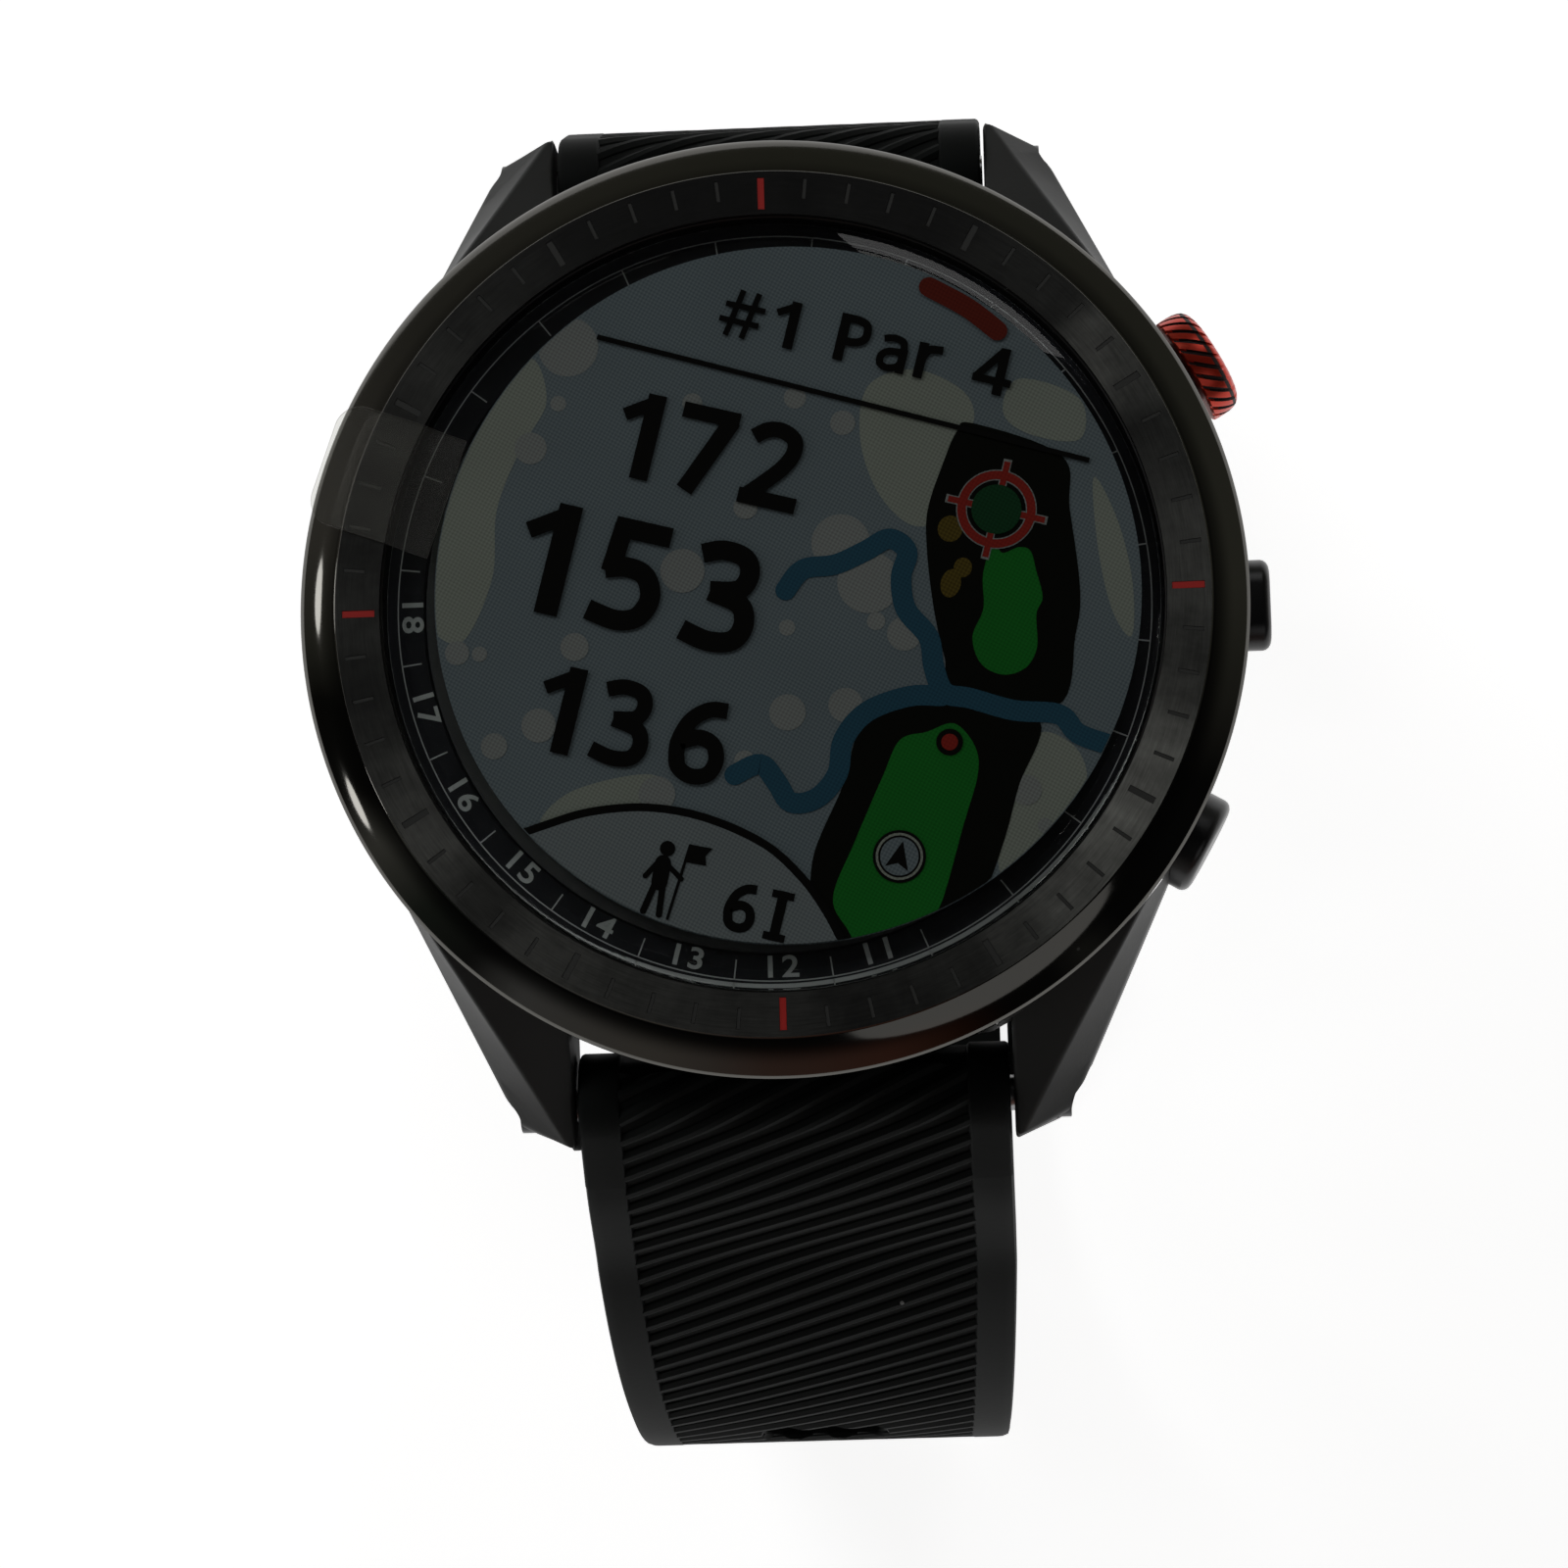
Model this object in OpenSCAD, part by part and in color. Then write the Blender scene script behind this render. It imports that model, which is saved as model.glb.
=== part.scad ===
// Golf GPS watch on a buckled rubber strap.
// +Z is the dial's normal, +Y is 12 o'clock, +X is 3 o'clock.
// The origin is the middle of the flat that the closed strap stands on.

/* [Overall] */
// Height of the dial ring above the surface that the closed strap stands on
dial_h = 60; // [52:0.5:74]
// Outside diameter of the bezel
bezel_d = 47; // [46:0.5:58]
// Depth from the dial ring to the crest of the sensor window
case_t = 14.8; // [13.8:0.1:18]

/* [Bezel and lens] */
// Width of the bezel from the lens opening to the rim
bezel_w = 4.2; // [3.6:0.1:5]
// Width of the flat brushed part of the bezel
bezel_flat = 2.3; // [1.6:0.1:2.6]
// Height of the bezel ring
bezel_h = 2.6; // [2.4:0.1:3.2]
// How far the rim lies below the flat of the bezel
rim_drop = 1.15; // [0.8:0.05:1.6]
// Depth of the lens below the flat of the bezel
lens_recess = 0.8; // [0.6:0.05:1]
// Thickness of the lens
lens_t = 1.4; // [1.2:0.05:1.5]
// Gap between the lens and the bezel
lens_gap = 0.15; // [0.1:0.05:0.2]
// Thickness of the protective film
film_t = 0.12; // [0.1:0.01:0.15]
// Width of the film's pull tab
tab_w = 6.2; // [5:0.1:8]

/* [Case] */
// How far the case wall stands inside the bezel's rim
case_inset = 0.3; // [0.2:0.05:0.5]
// Thickness of the case wall
case_wall = 3.8; // [3.6:0.1:4.4]
// Depth from the dial ring to the flat back of the case
back_drop = 12; // [11.8:0.1:13]
// Distance that the flats between the lugs are cut in from the rim
flat_cut = 2.6; // [2.4:0.1:3]
// How far the lug tips reach past the rim
lug_reach = 2.8; // [2.6:0.1:4]
// How far the lug bars lie past the rim
bar_reach = 0.3; // [0.2:0.1:0.8]
// Depth of the lug bars below the dial ring
bar_drop = 10.8; // [10:0.1:11.4]
// Diameter of the lug bars
bar_d = 1.8; // [1.5:0.1:2]
// Diameter of the sensor window
sensor_d = 17.2; // [14:0.2:20]
// Radial clearance of the running fits
run_fit = 0.05; // [0.03:0.01:0.08]

/* [Inside] */
// Thickness of the display panel
display_t = 1.1; // [0.8:0.1:1.3]
// Thickness of the main board
board_t = 0.8; // [0.6:0.1:1]
// Thickness of the battery cell
battery_t = 3.3; // [2.8:0.1:3.4]
// Diameter of the vibration motor
motor_d = 8; // [6:0.5:9]

/* [Buttons] */
// Angle of the upper and lower buttons from 3 o'clock
button_angle = 30; // [28:1:34]
// Depth of the button axes below the dial ring
button_drop = 6.9; // [6.6:0.1:7.2]
// Diameter of the knurled upper cap
red_d = 5.1; // [4.4:0.1:5.6]
// Width of the middle cap
mid_w = 4.6; // [4:0.1:5.2]
// Height of the middle cap
mid_h = 2.8; // [2.2:0.1:3.2]
// Diameter of the lower cap
low_d = 5; // [4.2:0.1:5.4]
// Diameter of the button stems
stem_d = 1.6; // [1.4:0.1:1.8]
// Press travel of the upper cap
red_travel = 0.6; // [0.4:0.05:0.7]
// Press travel of the middle and lower caps
press_travel = 0.5; // [0.3:0.05:0.5]

/* [Strap] */
// Width of the strap at the lugs
strap_w = 21.7; // [18:0.1:24]
// Width of the strap beyond its taper
tail_w = 20; // [16:0.1:22]
// Side clearance of the strap between the lugs
lug_clear = 0.2; // [0.1:0.05:0.3]
// Thickness of the strap
strap_t = 2.6; // [2:0.1:3]
// Length of the slotted half of the strap from its lug bar
tail_len = 120; // [112:1:126]
// Distance between the strap's slots
slot_pitch = 6.3; // [5.6:0.1:7]
// Width of a slot across the strap
slot_w = 6.5; // [5.5:0.1:7.5]
// Length of a slot along the strap
slot_l = 2.6; // [2.4:0.1:3]
// Slope of the slotted half where it leaves its lug bar
lower_slope = 47; // [42:1:54]
// Slope of the buckle half where it leaves its lug bar
upper_slope = 72; // [66:1:76]

/* [Strap ends] */
// Radius of the hook around the lug bar
hook_r = 2.3; // [2:0.05:2.4]
// Length of the metal tray behind the lug bar
tray_l = 10.6; // [10:0.1:11]
// Width of the metal tray
tray_w = 13; // [11:0.5:15]
// Width of the sliding latch
latch_w = 9; // [7:0.5:10]
// Travel of the sliding latch
latch_travel = 2.2; // [1.8:0.1:2.2]

/* [Buckle and keepers] */
// Length of the buckle frame from its pin to the far edge of its bar
frame_l = 10.6; // [10:0.1:12]
// Width of each arm of the buckle frame
arm_w = 1.75; // [1.4:0.05:2.2]
// Diameter of the buckle pin
pin_d = 1.5; // [1.2:0.1:1.6]
// Width of the tang
tang_w = 5.6; // [4.6:0.1:5.8]
// Wall of the keepers
keeper_t = 1.2; // [1:0.1:1.4]
// Length of the fixed keeper along the strap
fixed_l = 6; // [5:0.1:6.4]
// Length of the free keeper along the strap
free_l = 5; // [4:0.1:5.4]
// Clearance between the keepers and the strap
keeper_gap = 0.15; // [0.1:0.05:0.2]

/* [Hidden] */
$fn = 64;
eps = 0.01;
slip = 0.1;                     // gap between pieces that are laid or slid together

// Radii and depths of the case
bezel_r = bezel_d / 2;
opening_r = bezel_r - bezel_w;
lens_r = opening_r - lens_gap;
lens_floor = lens_recess + lens_t;
case_r = bezel_r - case_inset;
cavity_r = case_r - case_wall;
ledge_r = cavity_r - 1;         // inner edge of the shelf under the lens
ledge_floor = bezel_h + 0.6;
flat_y = bezel_r - flat_cut;
bar_y = bezel_r + bar_reach;
bar_r = bar_d / 2;
lug_gap = strap_w + 2 * lug_clear;
lug_tip = bezel_r + lug_reach;
lug_t = 3;                      // thickness of a lug at its tip
cover_r = cavity_r + 0.8;
cover_top = back_drop - 1.05;
seal_r = (cavity_r + cover_r) / 2;
ear_x = lug_gap / 2 + 1.4;      // screw places of the rear cover, beside the lugs
ear_out = cover_r + 1.033;      // their distance from the middle, clear of the cover's seal
ear_y = sqrt(ear_out * ear_out - ear_x * ear_x);
ear_r = 1.7;
plateau_r = sensor_d / 2 + 5.4; // foot of the raised part of the back
crown_r = sensor_d / 2 + 1.9;
crown_drop = case_t - 0.9;
window_seat = back_drop + 0.6;

// Stack of pieces below the lens
ring_t = 0.12;
panel_r = ledge_r - 1.2;
panel_floor = lens_floor + 0.16 + display_t;
holder_r = ledge_r - slip;
holder_floor = panel_floor + 0.8;
board_top = holder_floor + slip;
board_floor = board_top + board_t;
board_r = cavity_r - 0.2;
chassis_r = cavity_r - 0.2;
chassis_floor = cover_top - 0.2;
tray_floor = chassis_floor - 0.6;
chassis_wall = 3.4;
battery_r = chassis_r - chassis_wall - 0.2;
motor_y = chassis_r - motor_d / 2 - 3.9;
battery_cut = motor_y - motor_d / 2 - 0.4;
port_y = cavity_r - 3.2;
port_w = 9;
port_l = 4.2;
port_top = chassis_floor - 1.2;

// Places along a button's axis, as distances from the middle of the case
stem_in = cavity_r - 1.1;
clip_out = cavity_r - 0.2;
clip_r = 1.3;
clip_t = 0.35;
seal_place = cavity_r + 0.8;
pocket_in = cavity_r + 1.5;
pocket_r = 1.75;
cap_in = case_r - 0.3;
cap_seat = cap_in - press_travel - slip;        // floor of the wide pocket for the caps
neck_in = 1.15;                 // foot of the knurled cap's neck above the pocket's floor
red_in = case_r + 0.85;         // underside of the knurled cap
red_out = bezel_r + 2.3;
mid_out = bezel_r + 1.2;
low_out = bezel_r + 1;
switch_out = stem_in - red_travel - 0.05;

// Layers of the strap under the wrist
tail_z = keeper_t + keeper_gap + strap_t / 2;
band_z = tail_z + strap_t + slip;
bar_z = dial_h - bar_drop;

// Routes of the two halves: lists of [length, turn in degrees], from the lug bars
straight_l = 11;
lower_steep = 75;               // slope at the end of each half's gentle bend
upper_steep = 89;
lower_split = 0.46;             // share of the drop that lies above the tight bend
upper_split = 0.62;
lower_drop = bar_z - tail_z;
upper_drop = bar_z - band_z;
lower_r1 = (lower_split * lower_drop - straight_l * sin(lower_slope))
           / (cos(lower_slope) - cos(lower_steep));
lower_r2 = (1 - lower_split) * lower_drop / (1 + cos(lower_steep));
upper_r1 = (upper_split * upper_drop - straight_l * sin(upper_slope))
           / (cos(upper_slope) - cos(upper_steep));
upper_r2 = (1 - upper_split) * upper_drop / (1 + cos(upper_steep));
flat_low = -bar_y - straight_l * cos(lower_slope) - lower_r1 * (sin(lower_steep) - sin(lower_slope))
           + lower_r2 * sin(lower_steep);
flat_high = bar_y + straight_l * cos(upper_slope) + upper_r1 * (sin(upper_steep) - sin(upper_slope))
            - upper_r2 * sin(upper_steep);
buckle_y = flat_low + frame_l - 0.5;
function bow(r, turn) = [r * abs(turn) * PI / 180, turn];
lower_route = [[straight_l, 0], bow(lower_r1, lower_steep - lower_slope),
               bow(lower_r2, 180 - lower_steep), [flat_high - flat_low, 0],
               bow(upper_r2 + band_z - tail_z, 120)];
upper_route = [[straight_l, 0], bow(upper_r1, upper_slope - upper_steep),
               bow(upper_r2, upper_steep - 180), [flat_high - flat_low, 0]];
lower_start = [-bar_y, bar_z, 180 + lower_slope];
upper_start = [bar_y, bar_z, -upper_slope];
lower_bent = lower_route[0][0] + lower_route[1][0] + lower_route[2][0];
upper_len = upper_route[0][0] + upper_route[1][0] + upper_route[2][0] + flat_high - buckle_y;
slot_at = lower_bent + buckle_y - flat_low - 0.6;   // the slot that the tang sits in
strap_in = hook_r + 1;          // where the rubber starts, measured from the lug bar
tail_guard = 11;                // length of the tail without slots

// Point and heading [y, z, heading] at a distance along a route
function walk(route, at, from, i = 0) =
    let (len_i = route[i][0], turn = route[i][1], d = min(at, len_i), bend = turn * d / len_i,
         h = from[2], h2 = h + bend, r = turn == 0 ? 0 : len_i * 180 / (PI * turn),
         y = from[0] + (turn == 0 ? d * cos(h) : r * (sin(h2) - sin(h))),
         z = from[1] + (turn == 0 ? d * sin(h) : r * (cos(h) - cos(h2))))
    at <= len_i || i == len(route) - 1 ? [y, z, h2] : walk(route, at - len_i, [y, z, h2], i + 1);
function lower_at(s) = walk(lower_route, s, lower_start);
function upper_at(s) = walk(upper_route, s, upper_start);
// A point beside a route, towards the outside of the loop by off; side is 1 or -1
function beside(p, off, side) = [p[0] + side * off * sin(p[2]), p[1] - side * off * cos(p[2])];
// Half thickness outside and inside the route: the strap is thicker around the metal tray
function ease(x) = x <= 0 ? 0 : x >= 1 ? 1 : x * x * (3 - 2 * x);
function half_out(s) = strap_t / 2 + (hook_r - 0.3 - strap_t / 2) * (1 - ease((s - strap_in) / 8));
function half_in(s) = strap_t / 2 + (hook_r + 0.05 - strap_t / 2) * (1 - ease((s - tray_l) / 5));

// Draws a flat (y, z) shape and extrudes it across the strap, centred on x = 0
module across(width) {
    rotate([90, 0, 90]) translate([0, 0, -width / 2]) linear_extrude(width) children();
}
module rod_across(r, width) {
    rotate([0, 90, 0]) translate([0, 0, -width / 2]) cylinder(r = r, h = width);
}
// Local frame of a strap end: x along the strap, y out of the loop
module at_lower_end() {
    translate([-bar_y, bar_z]) rotate(180 + lower_slope) mirror([0, 1]) children();
}
module at_upper_end() {
    translate([bar_y, bar_z]) rotate(-upper_slope) children();
}
module box2(x0, x1, y0, y1) {
    translate([x0, y0]) square([x1 - x0, y1 - y0]);
}
module ring(r0, r1, z0, z1) {
    translate([0, 0, dial_h]) rotate_extrude($fn = 96) translate([r0, -z1]) square([r1 - r0, z1 - z0]);
}
module lathe() {
    translate([0, 0, dial_h]) rotate_extrude($fn = 96) children();
}
// Places children on a button's axis: z runs outwards from the middle of the case
module on_button(angle) {
    translate([0, 0, dial_h - button_drop]) rotate([0, 0, angle]) rotate([0, 90, 0]) children();
}
module post(r, from, to) {
    translate([0, 0, from]) cylinder(r = r, h = to - from);
}
// Round-ended bar across a button's axis
module oval_post(w, h, from, to) {
    for (side = [-1, 1]) translate([0, side * (w - h) / 2, 0]) post(h / 2, from, to);
    translate([-h / 2, -(w - h) / 2, from]) cube([h, w - h, to - from]);
}
// Helical spring along z
module coil(r, wire, from, to, turns) {
    steps = 14;
    sides = 8;
    n = round(turns * steps);
    function spot(i, j) = let (a = 360 * i / steps, b = 360 * j / sides)
        [(r + wire * cos(b)) * cos(a), (r + wire * cos(b)) * sin(a),
         from + wire + (to - from - 2 * wire) * i / n + wire * sin(b)];
    points = [for (i = [0:n]) for (j = [0:sides - 1]) spot(i, j)];
    walls = [for (i = [0:n - 1]) for (j = [0:sides - 1])
        [i * sides + j, i * sides + (j + 1) % sides, (i + 1) * sides + (j + 1) % sides,
         (i + 1) * sides + j]];
    ends = [[for (j = [sides - 1:-1:0]) j], [for (j = [0:sides - 1]) n * sides + j]];
    polyhedron(points, concat(walls, ends));
}

// Case

module lug(x_side, y_side) {
    edge = case_r - 1;
    mirror([x_side < 0 ? 1 : 0, 0, 0]) mirror([0, y_side < 0 ? 1 : 0, 0]) intersection() {
        translate([0, 0, -back_drop - 3]) linear_extrude(back_drop + 3)
            polygon([[lug_gap / 2, 12], [lug_gap / 2, lug_tip - 0.2], [lug_gap / 2 + 0.6, lug_tip],
                     [lug_gap / 2 + lug_t, lug_tip - 1.5],
                     [edge * cos(25), edge * sin(25)], [edge * cos(25) - 4, 8]]);
        across(4 * bezel_r) polygon([[7, -bezel_h - 1.4], [flat_y - 0.6, -bezel_h - 1],
                     [lug_tip - 1.3, 1.6 - bar_drop], [lug_tip, 0.3 - bar_drop],
                     [lug_tip + 0.1, -bar_drop - 1], [lug_tip - 1, -bar_drop - bar_r - 1.3],
                     [flat_y - 2, -back_drop - 0.9], [flat_y - 7, -back_drop], [7, -back_drop]]);
    }
}
module case_body() {
    color([0.17, 0.17, 0.18]) translate([0, 0, dial_h]) difference() {
        union() {
            rotate_extrude($fn = 96) polygon([[0, -bezel_h], [case_r, -bezel_h], [case_r, -back_drop + 3.8],
                [case_r - 0.5, -back_drop + 2], [case_r - 1.6, -back_drop], [0, -back_drop]]);
            for (x_side = [-1, 1]) for (y_side = [-1, 1]) lug(x_side, y_side);
        }
        translate([0, 0, -ledge_floor - eps]) cylinder(r = ledge_r, h = 5);
        translate([0, 0, -cover_top]) cylinder(r = cavity_r, h = cover_top - ledge_floor);
        translate([0, 0, -back_drop - 3]) cylinder(r = cover_r + slip, h = back_drop + 3 - cover_top);
        for (y_side = [-1, 1]) {
            translate([-lug_gap / 2, y_side > 0 ? flat_y : -flat_y - 9, -back_drop - 4])
                cube([lug_gap, 9, back_drop + 5]);
            translate([0, y_side * bar_y, -bar_drop]) rod_across(bar_r + 0.02, 2 * bezel_r);
            for (x_side = [-1, 1]) {
                translate([x_side > 0 ? lug_gap / 2 + 2.1 : -lug_gap / 2 - 7.1, y_side * bar_y, -bar_drop])
                    rotate([0, 90, 0]) cylinder(r = 1.4, h = 5);
                translate([x_side * ear_x, y_side * ear_y, -back_drop - 3])
                    cylinder(r = ear_r + slip, h = back_drop + 3 - cover_top);
                translate([x_side * ear_x, y_side * ear_y, -cover_top - eps]) cylinder(r = 0.52, h = 2.6);
            }
        }
        translate([0, 0, -dial_h]) {
            for (angle = [button_angle, 0, -button_angle]) on_button(angle) {
                post(stem_d / 2 + run_fit, cavity_r - 1, pocket_in + eps);
                post(pocket_r, pocket_in, bezel_r + 1);
            }
            on_button(0) oval_post(mid_w + 2 * slip, mid_h + 2 * slip, cap_seat, bezel_r + 1);
            on_button(-button_angle) post(low_d / 2 + slip, cap_seat, bezel_r + 1);
        }
    }
}
module bezel_ring() {
    color([0.30, 0.29, 0.30]) lathe() polygon([[opening_r, 0], [opening_r + bezel_flat, 0],
        [bezel_r - 0.35, -rim_drop + 0.12], [bezel_r, -rim_drop - 0.15], [bezel_r, -bezel_h + 0.3],
        [bezel_r - 0.25, -bezel_h], [opening_r, -bezel_h]]);
}
module display_lens() {
    color([0.05, 0.06, 0.07, 0.5]) ring(0, lens_r, lens_recess, lens_floor);
}
module screen_film() {
    tab_end = bezel_r - 0.1;
    color([0.75, 0.85, 0.8, 0.35]) translate([0, 0, dial_h]) rotate([0, 0, -16]) union() {
        translate([0, 0, -lens_recess]) cylinder(r = lens_r - 0.9, h = film_t);
        // the tab rises over the wall of the opening and lies on the bezel
        translate([0, tab_w / 2, 0]) rotate([90, 0, 0]) linear_extrude(tab_w)
            polygon([[-lens_r + 4, -lens_recess], [-lens_r + 2, -lens_recess], [-opening_r + 0.6, 0.03],
                     [-tab_end, 0.03], [-tab_end, 0.03 + film_t], [-opening_r + 0.7, 0.03 + film_t],
                     [-lens_r + 2.1, film_t - lens_recess], [-lens_r + 4, film_t - lens_recess]]);
    }
}
module lens_gasket() {
    color([0.1, 0.1, 0.1]) ring(ledge_r + slip, lens_r, lens_floor + ring_t + 0.04, bezel_h);
}
module numeral_ring() {
    color([0.08, 0.08, 0.09]) ring(panel_r + slip, lens_r - 0.05, lens_floor + 0.02,
                                   lens_floor + 0.02 + ring_t);
}
module display_panel() {
    color([0.35, 0.42, 0.38]) ring(0, panel_r, lens_floor + 0.02, panel_floor);
}
module display_frame() {
    color([0.12, 0.12, 0.13]) lathe() polygon([[panel_r - 1.7, -holder_floor], [holder_r, -holder_floor],
        [holder_r, -bezel_h], [panel_r + slip, -bezel_h], [panel_r + slip, -panel_floor],
        [panel_r - 1.7, -panel_floor]]);
}
module display_flex() {
    color([0.75, 0.5, 0.15]) translate([-4, -panel_r + 3.5, dial_h - board_top])
        cube([8, 0.2, board_top - panel_floor]);
}
module antenna_ring() {
    color([0.8, 0.65, 0.35]) ring(ledge_r + slip, cavity_r - 0.1, ledge_floor + 0.05, board_top);
}
module main_board() {
    color([0.05, 0.3, 0.15]) ring(0, board_r, board_top, board_floor);
}
module board_chips() {
    chip_t = 1.1;
    chips = [[-9, 5, 7, 7], [2, 6, 8, 6], [-11, -5, 5, 6], [-3, -7, 9, 7], [8.5, -4, 4, 5]];
    color([0.15, 0.15, 0.16]) for (c = chips)
        translate([c[0], c[1], dial_h - board_floor - chip_t]) cube([c[2], c[3], chip_t]);
    color([0.7, 0.7, 0.72]) translate([-2, -3, dial_h - board_floor - chip_t]) cube([8, 3.6, chip_t]);
}
module button_switches() {
    color([0.6, 0.6, 0.62]) for (angle = [button_angle, 0, -button_angle]) rotate([0, 0, angle]) {
        translate([switch_out - 1.9, -1.5, dial_h - board_floor - 2.3]) cube([1.6, 3, 2.3]);
        translate([0, 0, dial_h - button_drop]) rotate([0, 90, 0])
            post(0.6, switch_out - 0.3, switch_out);
    }
}
module battery_cell() {
    color([0.72, 0.72, 0.74]) intersection() {
        ring(0, battery_r, tray_floor - battery_t, tray_floor);
        translate([-battery_r, -port_y + port_l / 2 + 0.3, 0])
            cube([2 * battery_r, battery_cut + port_y - port_l / 2 - 0.3, dial_h]);
    }
}
module inner_chassis() {
    color([0.2, 0.2, 0.21]) difference() {
        union() {
            ring(0, chassis_r, tray_floor, chassis_floor);
            ring(chassis_r - chassis_wall, chassis_r, tray_floor - 1.7, chassis_floor);
            for (angle = [60, 120, 240, 300])
                translate([0, 0, dial_h]) rotate([0, 0, angle]) translate([chassis_r - 1.8, 0, -tray_floor])
                    cylinder(r = 1.2, h = tray_floor - board_floor);
        }
        translate([-port_w / 2 - slip, -port_y - port_l / 2 - slip, dial_h - chassis_floor - 1])
            cube([port_w + 2 * slip, port_l + 2 * slip, chassis_floor]);
    }
}
module vibration_motor() {
    color([0.75, 0.75, 0.77]) translate([0, motor_y, dial_h - tray_floor])
        cylinder(r = motor_d / 2, h = 2.5);
}
module rear_cover() {
    color([0.13, 0.13, 0.14]) difference() {
        union() {
            lathe() polygon([[sensor_d / 2 - 1.2, -cover_top], [cover_r, -cover_top], [cover_r, -back_drop],
                [plateau_r, -back_drop], [crown_r, -crown_drop], [sensor_d / 2 + 0.05, -crown_drop],
                [sensor_d / 2 + 0.05, -window_seat], [sensor_d / 2 - 1.2, -window_seat]]);
            for (x_side = [-1, 1]) for (y_side = [-1, 1])
                translate([x_side * ear_x, y_side * ear_y, dial_h - back_drop])
                    cylinder(r = ear_r, h = back_drop - cover_top);
        }
        ring(seal_r - 0.33, seal_r + 0.33, cover_top - 1, cover_top + 0.56);
        for (x_side = [-1, 1]) for (y_side = [-1, 1])
            translate([x_side * ear_x, y_side * ear_y, dial_h - back_drop - 1]) {
                cylinder(r = 0.55, h = 5);
                cylinder(r = 1.15, h = 1.6);
            }
        translate([-port_w / 2 - 0.05, -port_y - port_l / 2 - 0.05, dial_h - back_drop - 1])
            cube([port_w + 0.1, port_l + 0.1, 4]);
    }
}
module rear_cover_seal() {
    color([0.1, 0.1, 0.1]) lathe() translate([seal_r, -cover_top - 0.27]) circle(r = 0.26, $fn = 24);
}
module rear_cover_screws() {
    color([0.7, 0.7, 0.72]) for (x_side = [-1, 1]) for (y_side = [-1, 1])
        translate([x_side * ear_x, y_side * ear_y, dial_h - back_drop + 0.05]) difference() {
            union() {
                cylinder(r = 1.1, h = 0.55);
                cylinder(r = 0.5, h = 3);
            }
            translate([0, 0, -eps]) cylinder(r = 0.45, h = 0.3, $fn = 6);
        }
}
module sensor_board() {
    parts = [[0, 0, 2.4, 2.4], [-4.2, 0, 1.6, 1.6], [4.2, 0, 1.6, 1.6], [0, 4.2, 2, 1.4], [0, -4.2, 2, 1.4]];
    color([0.1, 0.25, 0.15]) union() {
        ring(0, sensor_d / 2 - 1.4, chassis_floor, chassis_floor + 0.6);
        for (p = parts) translate([p[0] - p[2] / 2, p[1] - p[3] / 2, dial_h - chassis_floor - 1.4])
            cube([p[2], p[3], 0.8 + eps]);
    }
}
module sensor_window() {
    rise = case_t - crown_drop;
    dome_r = (pow(sensor_d / 2, 2) + rise * rise) / (2 * rise);
    color([0.05, 0.05, 0.06]) translate([0, 0, dial_h]) intersection() {
        translate([0, 0, -case_t]) cylinder(r = sensor_d / 2, h = case_t - window_seat);
        translate([0, 0, -case_t + dome_r]) sphere(r = dome_r, $fn = 128);
    }
}
module charge_port() {
    color([0.1, 0.1, 0.11]) translate([0, -port_y, dial_h]) difference() {
        translate([-port_w / 2, -port_l / 2, -back_drop]) cube([port_w, port_l, back_drop - port_top]);
        translate([-port_w / 2 + 0.8, -port_l / 2 + 0.6, -back_drop - eps])
            cube([port_w - 1.6, port_l - 1.2, 1.5]);
        for (i = [-1.5:1.5]) translate([i * 1.6, 0, -back_drop]) cylinder(r = 0.4, h = 2.2);
    }
}
module charge_contacts() {
    color([0.85, 0.7, 0.3]) for (i = [-1.5:1.5])
        translate([i * 1.6, -port_y, dial_h - back_drop + 0.7]) cylinder(r = 0.38, h = 1.4);
}
module lower_lug_bar() {
    color([0.65, 0.65, 0.67]) translate([0, -bar_y, bar_z]) rod_across(bar_r, lug_gap + 2.4);
}
// The bar between the upper lugs stays in the strap's hook, so it ends just short of the lugs
module upper_lug_bar() {
    color([0.65, 0.65, 0.67]) translate([0, bar_y, bar_z]) rod_across(bar_r, lug_gap - 2 * slip);
}
module lug_screw(inner) {
    rotate([0, 90, 0]) difference() {
        union() {
            translate([0, 0, inner]) cylinder(r = bar_r, h = lug_gap / 2 + 2.15 - inner);
            translate([0, 0, lug_gap / 2 + 2.15]) cylinder(r = 1.3, h = 0.7);
        }
        translate([0, 0, lug_gap / 2 + 2.45]) cylinder(r = 0.5, h = 1, $fn = 6);
    }
}
module lug_screws() {
    color([0.6, 0.6, 0.62]) for (x_side = [0, 180]) rotate([0, 0, x_side]) {
        y = x_side == 0 ? bar_y : -bar_y;
        translate([0, y, bar_z]) lug_screw(lug_gap / 2 + 0.05);
        translate([0, -y, bar_z]) lug_screw(lug_gap / 2 + 1.25);
    }
}

// Buttons: each cap is one piece with its stem

module stem(to) {
    difference() {
        post(stem_d / 2, stem_in, to);
        difference() {
            post(stem_d, seal_place - 0.25, seal_place + 0.25);
            post(stem_d / 2 - 0.28, seal_place - 1, seal_place + 1);
        }
    }
}
module upper_button_cap() {
    color([0.75, 0.1, 0.08]) on_button(button_angle) union() {
        stem(red_in);
        post(pocket_r - slip, pocket_in + neck_in, red_in + eps);
        post(red_d / 2, red_in, red_out - 0.35);
        post(red_d / 2 - 0.35, red_out - 0.35 - eps, red_out);
    }
}
module middle_button_cap() {
    color([0.12, 0.12, 0.13]) on_button(0) union() {
        stem(cap_in + eps);
        oval_post(mid_w, mid_h, cap_in, mid_out - 0.3);
        oval_post(mid_w - 0.5, mid_h - 0.5, mid_out - 0.3 - eps, mid_out);
    }
}
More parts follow.
